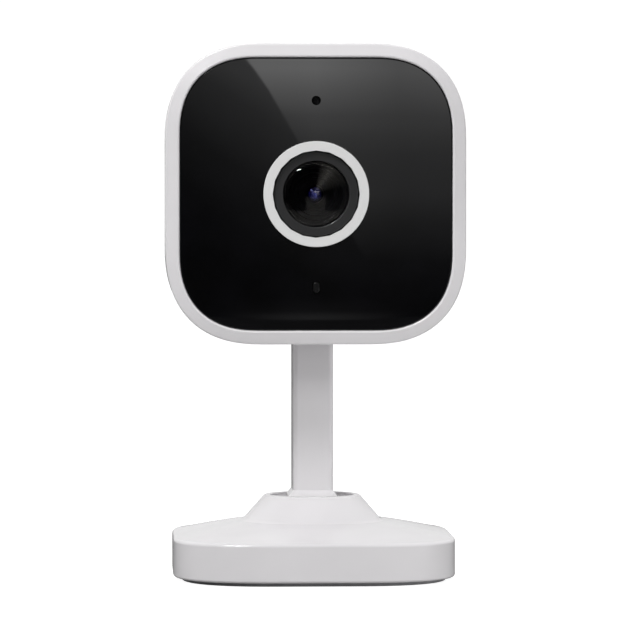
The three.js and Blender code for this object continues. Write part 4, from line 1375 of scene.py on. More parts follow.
@dataclass
class HeadShells:
    """The two shells of the head: the front one with its rim, and the deep rear one."""

    corner: float = 18.0
    power: float = 2.4
    shrink: float = 1.27
    wall: float = 1.8
    rim_width: float = 2.58
    rim_fall: float = 0.8
    front_edge: float = 0.5
    rim_inner_edge: float = 0.35
    back_edge: float = 6.0
    parting_edge: float = 0.16
    lap: float = 2.0
    tongue: float = 1.1
    ledge_width: float = 1.5
    ledge_thick: float = 1.2
    ear_wall: float = 2.0
    slot_end_gap: float = 0.6
    slot_edge: float = 0.3
    slot_wall: float = 1.6
    port_width: float = 13.0
    port_height: float = 8.0
    port_corner: float = 2.0
    mouth_edge: float = 0.3
    grille_hole: float = 0.6
    grille_pitch: float = 2.1

    def __post_init__(self) -> None:
        """Reads the head's places from the frame."""
        self.low, self.high = read_box("front_shell")
        self.back = read_box("rear_shell")[1].y
        self.face = self.low.y
        self.half = self.high.x
        self.middle = (self.low.z + self.high.z) / 2
        self.outline = SoftSquare(self.half, self.corner, self.power, self.shrink)
        self.parting = self.high.y + FIT
        self.cavity = self.half - self.wall
        low, high = read_box("tilt_washer_left")
        self.hinge = (low + high) / 2

    def placed(self, bm: bmesh.types.BMesh) -> bmesh.types.BMesh:
        """Raises a shape that was built about the lens axis to its height."""
        return moved(bm, 0.0, 0.0, self.middle)

    def front(self) -> None:
        """Builds the front shell: the rim, the ledge behind the panel and the lap."""
        inner = self.half - self.rim_width
        panel_back = read_box("front_panel")[1].y + FIT
        ledge_back = panel_back + self.ledge_thick
        end = self.high.y
        shell = self.outline.turned(
            [
                (inner, self.face, self.rim_inner_edge),
                (inner, panel_back),
                (inner - self.ledge_width, panel_back),
                (inner - self.ledge_width, ledge_back),
                (self.cavity, ledge_back),
                (self.cavity, end),
                (self.half, end, self.parting_edge),
                (self.half, self.face + self.rim_fall, self.front_edge),
            ]
        )
        piece(self.placed(shell), "front_shell_moulded", "head", Slot.WHITE_HOUSING, ["front_shell"])

    def skin(self) -> bmesh.types.BMesh:
        """Builds the rear shell's skin with its tongue, both ends closed.

        Returns:
            The closed shape, about the lens axis.
        """
        start, back = self.parting, self.back
        tongue = self.cavity - FIT
        flat = self.half - self.back_edge - 2
        inside = back - self.wall
        return self.outline.turned(
            [
                (flat, back),
                (self.half, back, self.back_edge),
                (self.half, start, self.parting_edge),
                (tongue, start),
                (tongue, start - self.lap, 0.2),
                (tongue - self.tongue, start - self.lap, 0.2),
                (tongue - self.tongue, start + self.lap / 2),
                (self.cavity, start + self.lap),
                (self.cavity, inside, self.back_edge - self.wall),
                (flat, inside),
            ],
            False,
        )

    def liner(self) -> bmesh.types.BMesh:
        """Builds the walls that carry the tilt screw and close the slot off.

        Returns:
            The solid block that the slot is cut in.
        """
        inset = self.wall / 2
        ear = self.hinge_gap() + self.ear_wall
        roof = self.roof() + self.slot_wall
        front = self.parting + FIT / 2
        return prism(
            [
                (front, -self.half + inset),
                (self.back - inset, -self.half + inset, self.back_edge - inset),
                (self.back - inset, roof),
                (front, roof),
            ],
            -ear,
            ear,
        )

    def hinge_gap(self) -> float:
        """Gives half the slot's width."""
        return read_box("tilt_washer_left")[0].x * -1 + 0.1

    def roof(self) -> float:
        """Gives the height of the slot's roof above the lens axis."""
        return self.hinge.z - self.middle + 5.5 + self.slot_end_gap

    def grille(self) -> list[bmesh.types.BMesh]:
        """Builds the cutters of the speaker's holes, in rings about its middle.

        Returns:
            A cutter for each hole.
        """
        low, high = read_box("speaker")
        rise = (low.z + high.z) / 2 - self.middle
        back, hole = self.back, self.grille_hole
        outline = [
            (0.0, back - self.wall - 1),
            (hole, back - self.wall - 1),
            (hole, back - 0.15),
            (hole + 0.15, back),
            (hole + 0.15, back + 1),
            (0.0, back + 1),
        ]
        places = [(0.0, 0.0)]
        for ring in (1, 2, 3):
            for i in range(6 * ring):
                turn = math.tau * i / (6 * ring)
                reach = ring * self.grille_pitch
                places.append((reach * math.sin(turn), reach * math.cos(turn)))
        return [moved(spun(outline, False, 16), x, 0.0, rise + z) for x, z in places]

    def sockets(self) -> list[bmesh.types.BMesh]:
        """Builds the cutters of the power recess, the button hole and the card slot.

        Returns:
            The cutters of the recess, the socket's way through it, the button hole and the card slot.
        """
        low, high = read_box("usb_socket")
        drop = (low.z + high.z) / 2 - self.middle
        floor, back, edge = high.y, self.back, self.mouth_edge
        recess = plate(
            self.port_width,
            self.port_height,
            self.port_corner,
            [(floor, 0.0), (back - edge, 0.0), (back, edge), (back + 1, edge)],
        )
        gap = 0.2
        through = plate(
            high.x - low.x + 2 * gap, high.z - low.z + 2 * gap, 1.6, [(low.y - 2, 0.0), (floor + 0.5, 0.0)]
        )
        low, high = read_box("reset_button")
        reach = 1.5 + gap
        ring = [
            (0.0, back - self.wall - 1),
            (reach, back - self.wall - 1),
            (reach, back - 0.2),
            (reach + 0.2, back),
            (reach + 0.2, back + 1),
            (0.0, back + 1),
        ]
        button = moved(spun(ring, False, 32), (low.x + high.x) / 2, 0.0, (low.z + high.z) / 2 - self.middle)
        low, high = read_box("card_socket")
        card = block(
            (self.cavity - 1, low.y + 0.1, low.z - self.middle + 0.4),
            (self.half + 1, high.y - 0.4, high.z - self.middle - 0.4),
        )
        return [moved(recess, 0.0, 0.0, drop), moved(through, 0.0, 0.0, drop), button, card]

    def rear(self) -> None:
        """Builds the rear shell and everything that is cut in it."""
        low, high = read_box("usb_socket")
        drop = (low.z + high.z) / 2 - self.middle
        recess_wall = 1.4
        wide, tall = self.port_width / 2 + recess_wall, self.port_height / 2 + recess_wall
        port_box = block(
            (-wide, high.y - recess_wall, drop - tall),
            (wide, self.back - 1.3, drop + tall),
        )
        body = combined(self.skin(), [self.liner()], Join.ADD)
        body = combined(body, [port_box], Join.ADD)
        gap = self.hinge_gap()
        slot_front = self.parting + self.slot_wall
        slot = block((-gap, slot_front, -self.half - 1), (gap, self.back + 1, self.roof()))
        body = combined(body, [slot], Join.TAKE)
        recess, through, button, card = self.sockets()
        body = combined(body, [recess, button, card, *self.grille()], Join.TAKE)
        hole = 1.6
        across = [(0.0, -9.0), (hole, -9.0), (hole, 9.0), (0.0, 9.0)]
        hinge = moved(sideways(spun(across, False, 32)), 0.0, self.hinge.y, self.hinge.z - self.middle)
        body = combined(body, [through, hinge], Join.TAKE)
        mouth = sharp_edges(body, self.on_slot_mouth)
        soften(body, mouth, self.slot_edge)
        piece(self.placed(body), "rear_shell_moulded", "head", Slot.WHITE_HOUSING, ["rear_shell"])

    def on_slot_mouth(self, co: Vector) -> bool:
        """Tells whether a point lies on the edge between the slot and the outside.

        Args:
            co: The point, about the lens axis.

        Returns:
            Whether it does.
        """
        gap, roof = self.hinge_gap(), self.roof()
        on_slot = abs(abs(co.x) - gap) < 0.01 or abs(co.z - roof) < 0.01
        on_slot = on_slot or abs(co.y - self.parting - self.slot_wall) < 0.01
        outside = co.y > self.back - self.back_edge - 0.01 or abs(co.z + self.half) < 0.01
        return on_slot and outside and abs(co.x) < gap + 0.01 and co.z < roof + 0.01

    def build(self) -> None:
        """Builds both shells."""
        self.front()
        self.rear()


@dataclass
class FrontFace:
    """The gloss panel with its holes, the ring round the lens and what lies behind them."""

    panel_swell: float = 0.17
    panel_edge: float = 0.2
    mic_radius: float = 0.75
    window_width: float = 1.4
    window_height: float = 2.2
    ring_sides: int = 20
    ring_opening: float = 8.13
    spigot: float = 9.0
    ring_flange: float = 0.35
    sense_drop: float = 17.4
    glass_radius: float = 6.05
    hood_radius: float = 7.83

    def __post_init__(self) -> None:
        """Reads the face's places from the frame."""
        self.low, self.high = read_box("front_panel")
        self.middle = (self.low.z + self.high.z) / 2

    def panel(self) -> None:
        """Builds the gloss panel and cuts the lens hole, microphone hole and light window."""
        half, front, back = self.high.x + self.panel_swell, self.low.y, self.high.y
        outline = HeadShells().outline
        slab = outline.turned(
            [
                (half - 6, front),
                (half, front, self.panel_edge),
                (half, back, 0.1),
                (half - 6, back),
            ],
            False,
        )
        hole = self.spigot + FIT
        lens = spun([(0.0, front - 1), (hole, front - 1), (hole, back + 1), (0.0, back + 1)], False)
        mic = self.mic_radius
        ear = spun(
            [
                (0.0, front - 1),
                (mic + 0.12, front - 1),
                (mic + 0.12, front),
                (mic, front + 0.12),
                (mic, back + 1),
                (0.0, back + 1),
            ],
            False,
            48,
        )
        window = plate(self.window_width, self.window_height, 0.6, [(front - 1, 0.0), (back + 1, 0.0)])
        cutters = [lens, moved(ear, 0.0, 0.0, self.sense_drop), moved(window, 0.0, 0.0, -self.sense_drop)]
        body = combined(slab, cutters, Join.TAKE)
        body = moved(body, 0.0, 0.0, self.middle)
        piece(body, "front_panel_polished", "head", Slot.BLACK_PANEL, ["front_panel"])

    def ring(self) -> None:
        """Builds the pale ring: round outside, and a polygon of twenty sides inside."""
        low, high = read_box("lens_ring")
        outer = high.x
        flange_back = low.y + self.ring_flange
        body = spun(
            [
                (self.ring_opening - 1, low.y),
                (outer, low.y, 0.12),
                (outer, flange_back),
                (self.spigot, flange_back),
                (self.spigot, high.y),
                (self.ring_opening - 1, high.y),
            ]
        )
        cutter = bmesh.new()
        bmesh.ops.create_cone(
            cutter,
            cap_ends=True,
            segments=self.ring_sides,
            radius1=self.ring_opening,
            radius2=self.ring_opening,
            depth=20,
            matrix=Matrix.Translation((0, low.y, 0)) @ Matrix.Rotation(math.pi / 2, 4, "X"),
        )
        body = combined(body, [cutter], Join.TAKE)
        body = moved(body, 0.0, 0.0, self.middle)
        piece(body, "lens_ring_moulded", "head", Slot.RING_PLASTIC, ["lens_ring"], crease=12.0)

    def hood(self) -> None:
        """Builds the dark hood: a flat front with a soft rim each side, and its flange."""
        low, high = read_box("lens_hood")
        mouth, outer, flange = self.glass_radius + 0.15, self.hood_radius, high.x
        flange_front = high.y - 0.8
        bore = self.hood_radius - 0.63
        body = spun(
            [
                (mouth, low.y, 0.12),
                (outer, low.y, 0.18),
                (outer, flange_front),
                (flange, flange_front),
                (flange, high.y),
                (bore, high.y),
                (bore, low.y + 0.9),
                (mouth, low.y + 0.9),
            ]
        )
        body = moved(body, 0.0, 0.0, self.middle)
        piece(body, "lens_hood_moulded", "head", Slot.HOOD_PLASTIC, ["lens_hood"])

    def sound_mesh(self) -> None:
        """Builds the black mesh that hangs in the microphone's hole and keeps dust out."""
        reach, depth = self.mic_radius - 0.02, self.high.y - 0.35
        disc = spun([(0.0, depth), (reach, depth), (reach, depth + 0.15), (0.0, depth + 0.15)], False, 32)
        body = moved(disc, 0.0, 0.0, self.middle + self.sense_drop)
        piece(body, "microphone_dust_mesh", "head", Slot.SEAL_FOAM, finish=CLOTH)

    def window(self) -> None:
        """Builds the smoked light window, with a slightly sunk and softened face."""
        low, high = read_box("light_guide")
        width, height = high.x - low.x, high.z - low.z
        body = plate(
            width, height, 0.5, [(low.y, -0.12), (low.y + 0.1, 0.0), (high.y, 0.0)]
        )
        body = moved(body, 0.0, 0.0, (low.z + high.z) / 2)
        piece(body, "light_window_moulded", "head", Slot.SMOKED_WINDOW, ["light_guide"])

    def build(self) -> None:
        """Builds the face and dresses what lies behind it."""
        self.panel()
        self.ring()
        self.hood()
        self.sound_mesh()
        self.window()
        dress_node("lens_gasket", Slot.SEAL_FOAM)
        dress_node("led_board", Slot.CIRCUIT_BOARD)
        dress_node("microphone", Slot.PLATED_STEEL)
        for i in (1, 2, 3, 4):
            dress_node(f"infrared_led_{i}", Slot.LED_RESIN)


@dataclass
class LensUnit:
    """The lens: domed glass, the stepped barrel behind it and the coated inner element."""

    glass_radius: float = 6.05
    sag: float = 0.9
    hollow_sag: float = 0.7
    dome_steps: int = 24
    thread_radius: float = 5.9
    pupil_radius: float = 1.5
    crest: float = 0.9
    ripple: float = 0.26
    bulge: float = 0.35
    swell: float = 0.45
    baffle_steps: int = 4

    def __post_init__(self) -> None:
        """Reads the lens's places from the frame."""
        self.low, self.high = read_box("front_glass")
        self.middle = (self.low.z + self.high.z) / 2

    def dome(self, radius: float, sag: float, front: float, steps: int) -> list[Corner]:
        """Gives the points of a dome from its top to its edge.

        Args:
            radius: Radius of the dome's edge.
            sag: How far the edge lies behind the top.
            front: Where the top lies along y.
            steps: Stretches from the top to the edge.

        Returns:
            Radius and y of each point.
        """
        ball = (radius**2 + sag**2) / (2 * sag)
        reach = math.asin(radius / ball)
        return [
            (ball * math.sin(reach * i / steps), front + ball * (1 - math.cos(reach * i / steps)))
            for i in range(steps + 1)
        ]

    def glass(self) -> None:
        """Builds the front glass, domed outside and hollowed behind."""
        radius, back = self.glass_radius, self.high.y
        hollow = self.dome(radius - 0.7, self.hollow_sag, back - self.hollow_sag, self.dome_steps)
        outline = [*self.dome(radius, self.sag, self.low.y, self.dome_steps), (radius, back, 0.05)]
        body = spun([*outline, *reversed(hollow)], False)
        body = moved(body, 0.0, 0.0, self.middle)
        piece(body, "front_glass_ground", "head", Slot.LENS_GLASS, ["front_glass"])

    def barrel(self) -> None:
        """Builds the barrel, whose inside steps down to the pupil as a row of baffles."""
        low, high = read_box("lens_barrel")
        bore = self.glass_radius + FIT
        bowl = self.high.y + FIT
        shoulder = self.high.y + 3.3
        pupil = self.pupil_radius + FIT
        element = read_box("inner_element")
        start, end = self.glass_radius - 0.6, pupil + 0.5
        baffles: list[Corner] = []
        for i in range(self.baffle_steps):
            out = start + (end - start) * i / self.baffle_steps
            into = start + (end - start) * (i + 0.8) / self.baffle_steps
            deep = bowl + (element[0].y - 0.3 - bowl) * (i + 1) / self.baffle_steps
            baffles.insert(0, (out, deep - 0.1, 0.05))
            baffles.insert(0, (into, deep, 0.05))
        outline = [
            (bore, low.y, 0.05),
            (high.x, low.y, 0.05),
            (high.x, shoulder),
            (self.thread_radius, shoulder),
            (self.thread_radius, high.y),
            (self.thread_radius - 1.9, high.y),
            (self.thread_radius - 1.9, high.y - 3.5),
            (pupil, high.y - 6.2),
            (pupil, element[0].y - 0.2),
            *baffles,
            (start, bowl),
            (bore, bowl),
        ]
        body = moved(spun(outline), 0.0, 0.0, self.middle)
        piece(body, "lens_barrel_turned", "head", Slot.BLACK_PLASTIC, ["lens_barrel"], LENS_BLACK)

    def element(self) -> None:
        """Builds the coated inner element: a dimpled middle inside a domed shoulder."""
        low, high = read_box("inner_element")
        radius = self.pupil_radius
        crest = self.crest
        front = [
            (crest * i / 14, low.y + self.ripple * (2 + math.cos(math.tau * i / 14)) / 3)
            for i in range(15)
        ]
        fall = [
            (crest + (radius - crest) * i / 6, front[-1][1] + self.bulge * (i / 6) ** 2)
            for i in range(1, 7)
        ]
        behind = [(r, high.y - y + low.y) for r, y in self.dome(radius, self.swell, low.y, 10)]
        outline = [*front, *fall, *reversed(behind)]
        body = spun(outline, False, 48)
        body = moved(body, 0.0, 0.0, self.middle)
        piece(body, "inner_element_coated", "head", Slot.COATED_GLASS, ["inner_element"])

    def build(self) -> None:
        """Builds the lens and dresses its holder, filter and sensor."""
        self.glass()
        self.barrel()
        self.element()
        for node in ("lens_holder", "filter_frame"):
            dress_node(node, Slot.BLACK_PLASTIC)
        dress_node("filter_coil", Slot.AMBER_FILM)
        dress_node("infrared_filter", Slot.COATED_GLASS)
        dress_node("clear_pane", Slot.LENS_GLASS)
        dress_node("image_sensor", Slot.SENSOR_CHIP)
        dress_node("sensor_board", Slot.CIRCUIT_BOARD)


@dataclass
class BackFittings:
    """What the back and side show: socket, button, card socket, and cloth behind the grille."""

    can_wall: float = 0.35
    contact_count: int = 8
    contact_pitch: float = 0.7
    contact_width: float = 0.35
    button_radius: float = 1.5
    cloth_radius: float = 7.2

    def socket(self) -> None:
        """Builds the power socket: a rolled can with a tongue standing in it."""
        low, high = read_box("usb_socket")
        width, height = high.x - low.x, high.z - low.z
        middle = (low.z + high.z) / 2
        wall = self.can_wall
        can = plate(width, height, 1.4, [(low.y, 0.0), (high.y - 0.1, 0.0), (high.y, -0.1)])
        inside = plate(
            width - 2 * wall,
            height - 2 * wall,
            1.1,
            [(low.y + 1.1, 0.0), (high.y - 0.15, 0.0), (high.y, 0.12), (high.y + 1, 0.12)],
        )
        body = combined(can, [inside], Join.TAKE)
        tongue = block((-width / 2 + 1.2, low.y + 0.6, -0.35), (width / 2 - 1.2, high.y - 0.6, 0.35))
        soften(tongue, sharp_edges(tongue, lambda co: co.y > high.y - 0.7), 0.12, 2)
        body = combined(body, [tongue], Join.ADD)
        piece(moved(body, 0.0, 0.0, middle), "power_socket_can", "head", Slot.PLATED_STEEL, ["usb_socket"])

    def contacts(self) -> None:
        """Builds the rows of contacts on both sides of the socket's tongue."""
        low, high = read_box("usb_socket")
        middle = (low.z + high.z) / 2
        for side, name in ((1, "upper"), (-1, "lower")):
            row = bmesh.new()
            for i in range(self.contact_count):
                x = (i - (self.contact_count - 1) / 2) * self.contact_pitch
                z = middle + side * 0.37
                size = (self.contact_width, 2.2, 0.06, 1.0)
                spot = Matrix.Translation((x, high.y - 2.0, z)) @ Matrix.Diagonal(size)
                bmesh.ops.create_cube(row, size=1.0, matrix=spot)
            piece(row, f"socket_contacts_{name}", "head", Slot.AMBER_FILM)

    def button(self) -> None:
        """Builds the reset button with a dished top."""
        low, high = read_box("reset_button")
        radius, back = self.button_radius, high.y
        flange = back - 1.8 - 1.2
        outline = [
            (0.0, low.y),
            (radius * 0.7, low.y),
            (radius * 0.7, flange),
            (radius + 0.7, flange),
            (radius + 0.7, flange + 0.9),
            (radius, flange + 0.9),
            (radius, back, 0.18),
            (radius * 0.7, back - 0.02),
            (radius * 0.4, back - 0.12),
            (0.0, back - 0.15),
        ]
        body = moved(spun(outline, False, 40), (low.x + high.x) / 2, 0.0, (low.z + high.z) / 2)
        piece(body, "reset_button_moulded", "button", Slot.BLACK_PLASTIC, ["reset_button"])

    def cloth(self) -> None:
        """Builds the dust cloth that lies just inside the grille."""
        low, high = read_box("speaker_gasket")
        front, back, reach = low.y + FIT, high.y - FIT, self.cloth_radius
        disc = spun([(0.0, front), (reach, front), (reach, back), (0.0, back)], False, 48)
        body = moved(disc, 0.0, 0.0, (low.z + high.z) / 2)
        piece(body, "grille_dust_cloth", "head", Slot.SEAL_FOAM, finish=CLOTH)

    def build(self) -> None:
        """Builds the fittings and dresses the boards and the rest of the inside."""
        self.socket()
        self.contacts()
        self.button()
        self.cloth()
        dressed = {
            Slot.PLATED_STEEL: ["card_socket", "reset_switch", "processor_shield", "radio_shield"],
            Slot.BLACK_PLASTIC: ["speaker", "mid_frame"],
            Slot.SEAL_FOAM: ["speaker_gasket"],
            Slot.CIRCUIT_BOARD: ["main_board"],
            Slot.AMBER_FILM: ["radio_antenna"],
        }
        dressed[Slot.PLATED_STEEL] += [f"frame_screw_{i}" for i in (1, 2, 3, 4)]
        dressed[Slot.PLATED_STEEL] += [f"{kind}_screw_{i}" for kind in ("holder", "board") for i in (1, 2)]
        for slot, nodes in dressed.items():
            for node in nodes:
                dress_node(node, slot)


@dataclass
class TiltJoint:
    """The screw that the head tilts on, its nut and its two friction washers."""

    def build(self) -> None:
        """Dresses the joint's nodes."""
        for node in ("tilt_screw", "tilt_nut"):
            dress_node(node, Slot.PLATED_STEEL)
        for node in ("tilt_washer_left", "tilt_washer_right"):
            dress_node(node, Slot.BLACK_PLASTIC)


# ---------------------------------------------------------------- studio


@dataclass(frozen=True)
class Lamp:
    """A soft box of the studio.

    Attributes:
        name: The light's name.
        place: Where it stands, in millimetres.
        size: Its width and height, in millimetres.
        power: Its power, in watts.
        roll: Turn about its own axis, in degrees.
        aim: Height on the upright axis that it is aimed at, in millimetres.
        mirrored: Whether reflections show it.
        seen: Whether the camera can see it.
    """

    name: str
    place: tuple[float, float, float]
    size: tuple[float, float]
    power: float
    roll: float = 0.0
    aim: float = 60.0
    mirrored: bool = True
    seen: bool = True

    def hang(self) -> None:
        """Makes the light, and aims it."""
        data = bpy.data.lights.new(self.name, "AREA")
        data.shape = "RECTANGLE"
        data.size, data.size_y = self.size[0] * MM, self.size[1] * MM
        data.energy = self.power
        made = bpy.data.objects.new(self.name, data)
        bpy.context.scene.collection.objects.link(made)
        place = Vector(self.place)
        made.location = place * MM
        made.rotation_mode = "QUATERNION"
        aimed = (Vector((0, 0, self.aim)) - place).to_track_quat("-Z", "Y")
        made.rotation_quaternion = aimed @ Quaternion((0, 0, 1), math.radians(self.roll))
        if not self.mirrored:
            made.visible_glossy = False
        if not self.seen:
            made.visible_camera = False


@dataclass
class Studio:
    """A plain pale floor, soft light, and a camera a little to the left of the lens axis."""

    distance: float = 807.4
    azimuth: float = -2.45
    focal: float = 242.2
    sensor: float = 36.0
    aim_right: float = 0.58
    aim_height: float = 49.57
    floor_radius: float = 4000.0
    dim_greys: tuple[tuple[float, float], ...] = (
        (0.0, 0.02),
        (0.165, 0.04),
        (0.39, 0.125),
        (0.65, 0.4),
        (0.76, 0.66),
        (1.0, 0.82),
    )
    bright_greys: tuple[tuple[float, float], ...] = (
        (0.25, 0.0),
        (0.5, 0.17),
        (0.6, 0.12),
        (0.715, 0.12),
        (0.79, 0.2),
        (0.917, 0.7),
        (0.98, 0.95),
    )
    low_greys: tuple[tuple[float, float], ...] = ((0.03, 0.24), (0.055, 0.06), (0.12, 0.0))
    wedge_greys: tuple[tuple[float, float], ...] = (
        (0.0, 0.0),
        (0.4, 0.35),
        (0.6, 1.0),
        (0.76, 0.5),
        (0.95, 0.0),
    )
    card_away: float = 1595.0
    card_side: float = 68.9
    card_height: float = 72.6
    card_half: float = 84.0
    card_unit: float = 75.0
    card_slant: float = 0.574
    wedge_away: float = 1000.0
    felt_away: float = 1700.0
    flag_away: float = 228.0
    flag_side: float = 8.0
    floor_drop: float = 0.01
    lamps: tuple[Lamp, ...] = (
        Lamp("key_soft_box", (-290, -380, 680), (300, 240), 3.8),
        Lamp("strip_soft_box", (-188, -622, 375), (60, 9), 0.2, 28.0),
        Lamp("fill_soft_box", (300, -120, 14), (90, 40), 0.05),
        Lamp("left_soft_box", (-300, -560, 420), (200, 150), 0.6, mirrored=False),
        Lamp("low_soft_box", (20, -85, 4), (260, 6), 0.008, 0.0, 4.0, False, False),
        Lamp("corner_soft_box", (85, -62, 4), (30, 8), 0.014, 0.0, 4.0, False, False),
    )

    def camera(self) -> None:
        """Makes the camera, level with the lens and aimed at the stem's middle."""
        data = bpy.data.cameras.new("camera")
        data.lens = self.focal
        data.sensor_width = self.sensor
        data.clip_end = 100.0
        made = bpy.data.objects.new("camera", data)
        bpy.context.scene.collection.objects.link(made)
        turn = math.radians(self.azimuth)
        low, high = read_box("front_panel")
        height = (low.z + high.z) / 2
        place = Vector((math.sin(turn), -math.cos(turn), 0)) * self.distance
        place.z = height
        aim = Vector((math.cos(turn), math.sin(turn), 0)) * self.aim_right
        aim.z = self.aim_height
        made.location = place * MM
        made.rotation_mode = "QUATERNION"
        made.rotation_quaternion = (aim - place).to_track_quat("-Z", "Y")
        bpy.context.scene.camera = made

    def world(self) -> None:
        """Makes the surroundings: white to the eye, and softer light from the front."""
        world = bpy.data.worlds.new("studio")
        bpy.context.scene.world = world
        world.use_nodes = True
        tree = world.node_tree
        tree.nodes.clear()
        direction = add_node(tree, "ShaderNodeTexCoord").outputs["Generated"]
        parts = add_node(tree, "ShaderNodeSeparateXYZ", None, {0: direction})
        behind = add_span(tree, parts.outputs["Y"], (-0.5, 0.8), (0.23, 0.8), True)
        above = add_span(tree, parts.outputs["Z"], (0.05, 0.8), (0.0, 0.14), True)
        beside = add_span(tree, parts.outputs["X"], (-0.9, 0.9), (-0.12, 0.06), True)
        light = add_maths(tree, "ADD", behind, add_maths(tree, "ADD", above, beside))
        soft = add_node(tree, "ShaderNodeBackground", None, {"Color": (1, 1, 1, 1), "Strength": light})
        white = add_node(tree, "ShaderNodeBackground", None, {"Color": (1, 1, 1, 1), "Strength": 1.05})
        seen = add_node(tree, "ShaderNodeLightPath").outputs["Is Camera Ray"]
        choice = {0: seen, 1: soft.outputs[0], 2: white.outputs[0]}
        mixed = add_node(tree, "ShaderNodeMixShader", None, choice)
        add_node(tree, "ShaderNodeOutputWorld", None, {"Surface": mixed.outputs[0]})

    def floor(self) -> None:
        """Makes the floor: a wide pale disc that keeps a trace of the object's shadow."""
        bm = bmesh.new()
        drop = Matrix.Translation((0, 0, -self.floor_drop * MM))
        bmesh.ops.create_circle(bm, cap_ends=True, segments=96, radius=self.floor_radius * MM, matrix=drop)
        made = to_object(bm, "studio_floor")
        material = bpy.data.materials.new("floor_painted_pale")
        material.use_nodes = True
        shader = material.node_tree.nodes["Principled BSDF"]
        shader.inputs["Roughness"].default_value = 0.9
        shader.inputs["Specular IOR Level"].default_value = 0.1
        shader.inputs["Emission Color"].default_value = (1, 1, 1, 1)
        tree = material.node_tree
        rays = add_node(tree, "ShaderNodeLightPath").outputs
        glow = add_maths(tree, "MULTIPLY", rays["Is Camera Ray"], 0.93)
        tree.links.new(glow, shader.inputs["Emission Strength"])
        pale = add_ramp(tree, rays["Is Glossy Ray"], [(0.0, linear("#a6a6a6")), (1.0, linear("#606060"))])
        tree.links.new(pale, shader.inputs["Base Color"])
        made.data.materials.append(material)

    def greys(
        self, tree: bpy.types.NodeTree, factor: bpy.types.NodeSocket, stops: Sequence[tuple[float, float]]
    ) -> bpy.types.NodeSocket:
        """Adds a ramp of greys.

        Args:
            tree: The node tree that gets the ramp.
            factor: What the ramp reads.
            stops: Place and linear grey of each stop.

        Returns:
            The ramp's colour socket.
        """
        return add_ramp(tree, factor, [(place, (grey, grey, grey, 1.0)) for place, grey in stops])

    def card(self) -> None:
        """Makes the graded card that the gloss panel mirrors, with its slanted edge."""
        bm = bmesh.new()
        bmesh.ops.create_grid(bm, x_segments=1, y_segments=1, size=self.card_half * MM)
        upended = Matrix.Rotation(-math.pi / 2, 3, "X")
        bmesh.ops.rotate(bm, cent=(0, 0, 0), matrix=upended, verts=bm.verts)
        middle = Vector((self.card_side, -self.card_away, self.card_height))
        bmesh.ops.translate(bm, vec=middle * MM, verts=bm.verts)
        made = self.hung(bm, "studio_card")
        material = blank_material("card_graded")
        tree = material.node_tree
        unit = self.card_unit
        centred = add_node(
            tree,
            "ShaderNodeMapping",
            None,
            {
                "Vector": add_node(tree, "ShaderNodeTexCoord").outputs["Object"],
                "Location": (-self.card_side / unit, 0.0, -self.card_height / unit),
                "Scale": (1 / (unit * MM), 1.0, 1 / (unit * MM)),
            },
        )
        parts = add_node(tree, "ShaderNodeSeparateXYZ", None, {0: centred.outputs["Vector"]})
        right, up = parts.outputs["X"], parts.outputs["Z"]
        rise = add_span(tree, up, (-1.0, 1.0))
        edge = add_maths(tree, "MULTIPLY_ADD", up, self.card_slant, right)
        lit = add_span(tree, edge, (0.085, 0.1))
        dimmed = add_maths(tree, "MULTIPLY_ADD", add_maths(tree, "MINIMUM", right, 0.0), 0.35, rise)
        strength = add_maths(tree, "MULTIPLY", lit, add_span(tree, right, (0.0, 0.62), (2.1, 1.0)))
        near = add_span(tree, add_maths(tree, "ABSOLUTE", right), (0.0, 0.8), (1.0, 0.0), True)
        first = self.glow(tree, self.greys(tree, dimmed, self.dim_greys), 1.0)
        second = self.glow(tree, self.greys(tree, rise, self.bright_greys), strength)
        band = self.glow(tree, self.greys(tree, rise, self.low_greys), near)
        both = add_node(tree, "ShaderNodeAddShader", None, {0: first, 1: second})
        whole = add_node(tree, "ShaderNodeAddShader", None, {0: both.outputs[0], 1: band})
        add_node(tree, "ShaderNodeOutputMaterial", None, {"Surface": whole.outputs[0]})
        made.data.materials.append(material)

    def glow(
        self, tree: bpy.types.NodeTree, colour: bpy.types.NodeSocket, strength: Value
    ) -> bpy.types.NodeSocket:
        """Adds light of a colour.

        Args:
            tree: The node tree that gets it.
            colour: Its colour.
            strength: Its strength.

        Returns:
            The light's shader socket.
        """
        made = add_node(tree, "ShaderNodeEmission", None, {"Color": colour, "Strength": strength})
        return made.outputs[0]

    def hung(self, bm: bmesh.types.BMesh, name: str) -> bpy.types.Object:
        """Makes a card that only reflections show.

        Args:
            bm: The card's shape, in metres.
            name: Its name.

        Returns:
            The card.
        """
        made = to_object(bm, name)
        made.visible_camera = False
        made.visible_diffuse = False
        made.visible_shadow = False
        return made

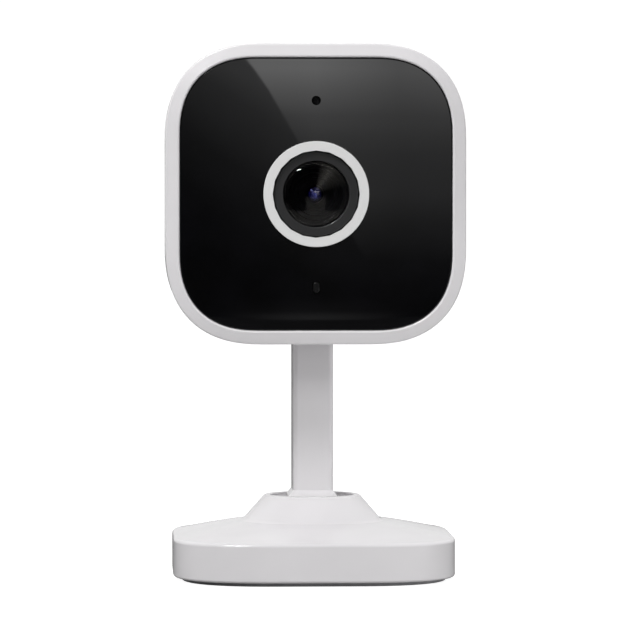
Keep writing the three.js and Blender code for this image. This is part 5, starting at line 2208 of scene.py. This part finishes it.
    def wedge(self) -> None:
        """Makes the card, brightest along one slant, that draws a soft wedge in the front glass."""
        bm = bmesh.new()
        corners = [(110, 25), (640, 160), (640, 700), (160, 700), (30, 64), (110, 64)]
        places = [Vector((x, -self.wedge_away, z + self.card_height)) * MM for x, z in corners]
        bm.faces.new([bm.verts.new(place) for place in places])
        made = self.hung(bm, "studio_wedge_card")
        material = blank_material("card_wedge")
        tree = material.node_tree
        place = add_node(tree, "ShaderNodeTexCoord").outputs["Object"]
        parts = add_node(tree, "ShaderNodeSeparateXYZ", None, {0: place}).outputs
        over = add_maths(tree, "SUBTRACT", parts["Z"], self.card_height * MM)
        share = add_span(tree, add_maths(tree, "ARCTAN2", over, parts["X"]), (0.2, 1.45))
        light = self.glow(tree, self.greys(tree, share, self.wedge_greys), 0.42)
        add_node(tree, "ShaderNodeOutputMaterial", None, {"Surface": light})
        made.data.materials.append(material)

    def flags(self) -> None:
        """Makes the black felt that the glass mirrors: a wall behind, and a flag each side."""
        material = bpy.data.materials.new("card_black_felt")
        material.use_nodes = True
        shader = material.node_tree.nodes["Principled BSDF"]
        shader.inputs["Base Color"].default_value = linear("#010101")
        shader.inputs["Roughness"].default_value = 1.0
        shader.inputs["Specular IOR Level"].default_value = 0.0
        wall = bmesh.new()
        corners = [(-1400, 2), (1400, 2), (1400, 1300), (-1400, 1300)]
        wall.faces.new([wall.verts.new((x * MM, -self.felt_away * MM, z * MM)) for x, z in corners])
        self.hung(wall, "studio_felt_wall").data.materials.append(material)
        for side, name in ((-1, "studio_flag_left"), (1, "studio_flag_right")):
            bm = bmesh.new()
            corners = [(38, 66), (36, 10), (52, 1), (240, 1), (240, 66)]
            places = [Vector((side * x + self.flag_side, -self.flag_away, z)) * MM for x, z in corners]
            bm.faces.new([bm.verts.new(place) for place in places])
            self.hung(bm, name).data.materials.append(material)

    def build(self) -> None:
        """Makes the whole studio."""
        scene = bpy.context.scene
        scene.view_settings.view_transform = "Standard"
        self.camera()
        self.world()
        self.floor()
        self.card()
        self.wedge()
        self.flags()
        for lamp in self.lamps:
            lamp.hang()


def main() -> None:
    """Builds the studio, then each sub-assembly from the base up."""
    logging.basicConfig(level=logging.INFO, format="%(message)s")
    kinds = (Studio, Base, Stem, HeadShells, FrontFace, LensUnit, BackFittings, TiltJoint)
    for kind in kinds:
        LOG.info("building %s", kind.__name__)
        kind().build()


if __name__ == "__main__":
    main()
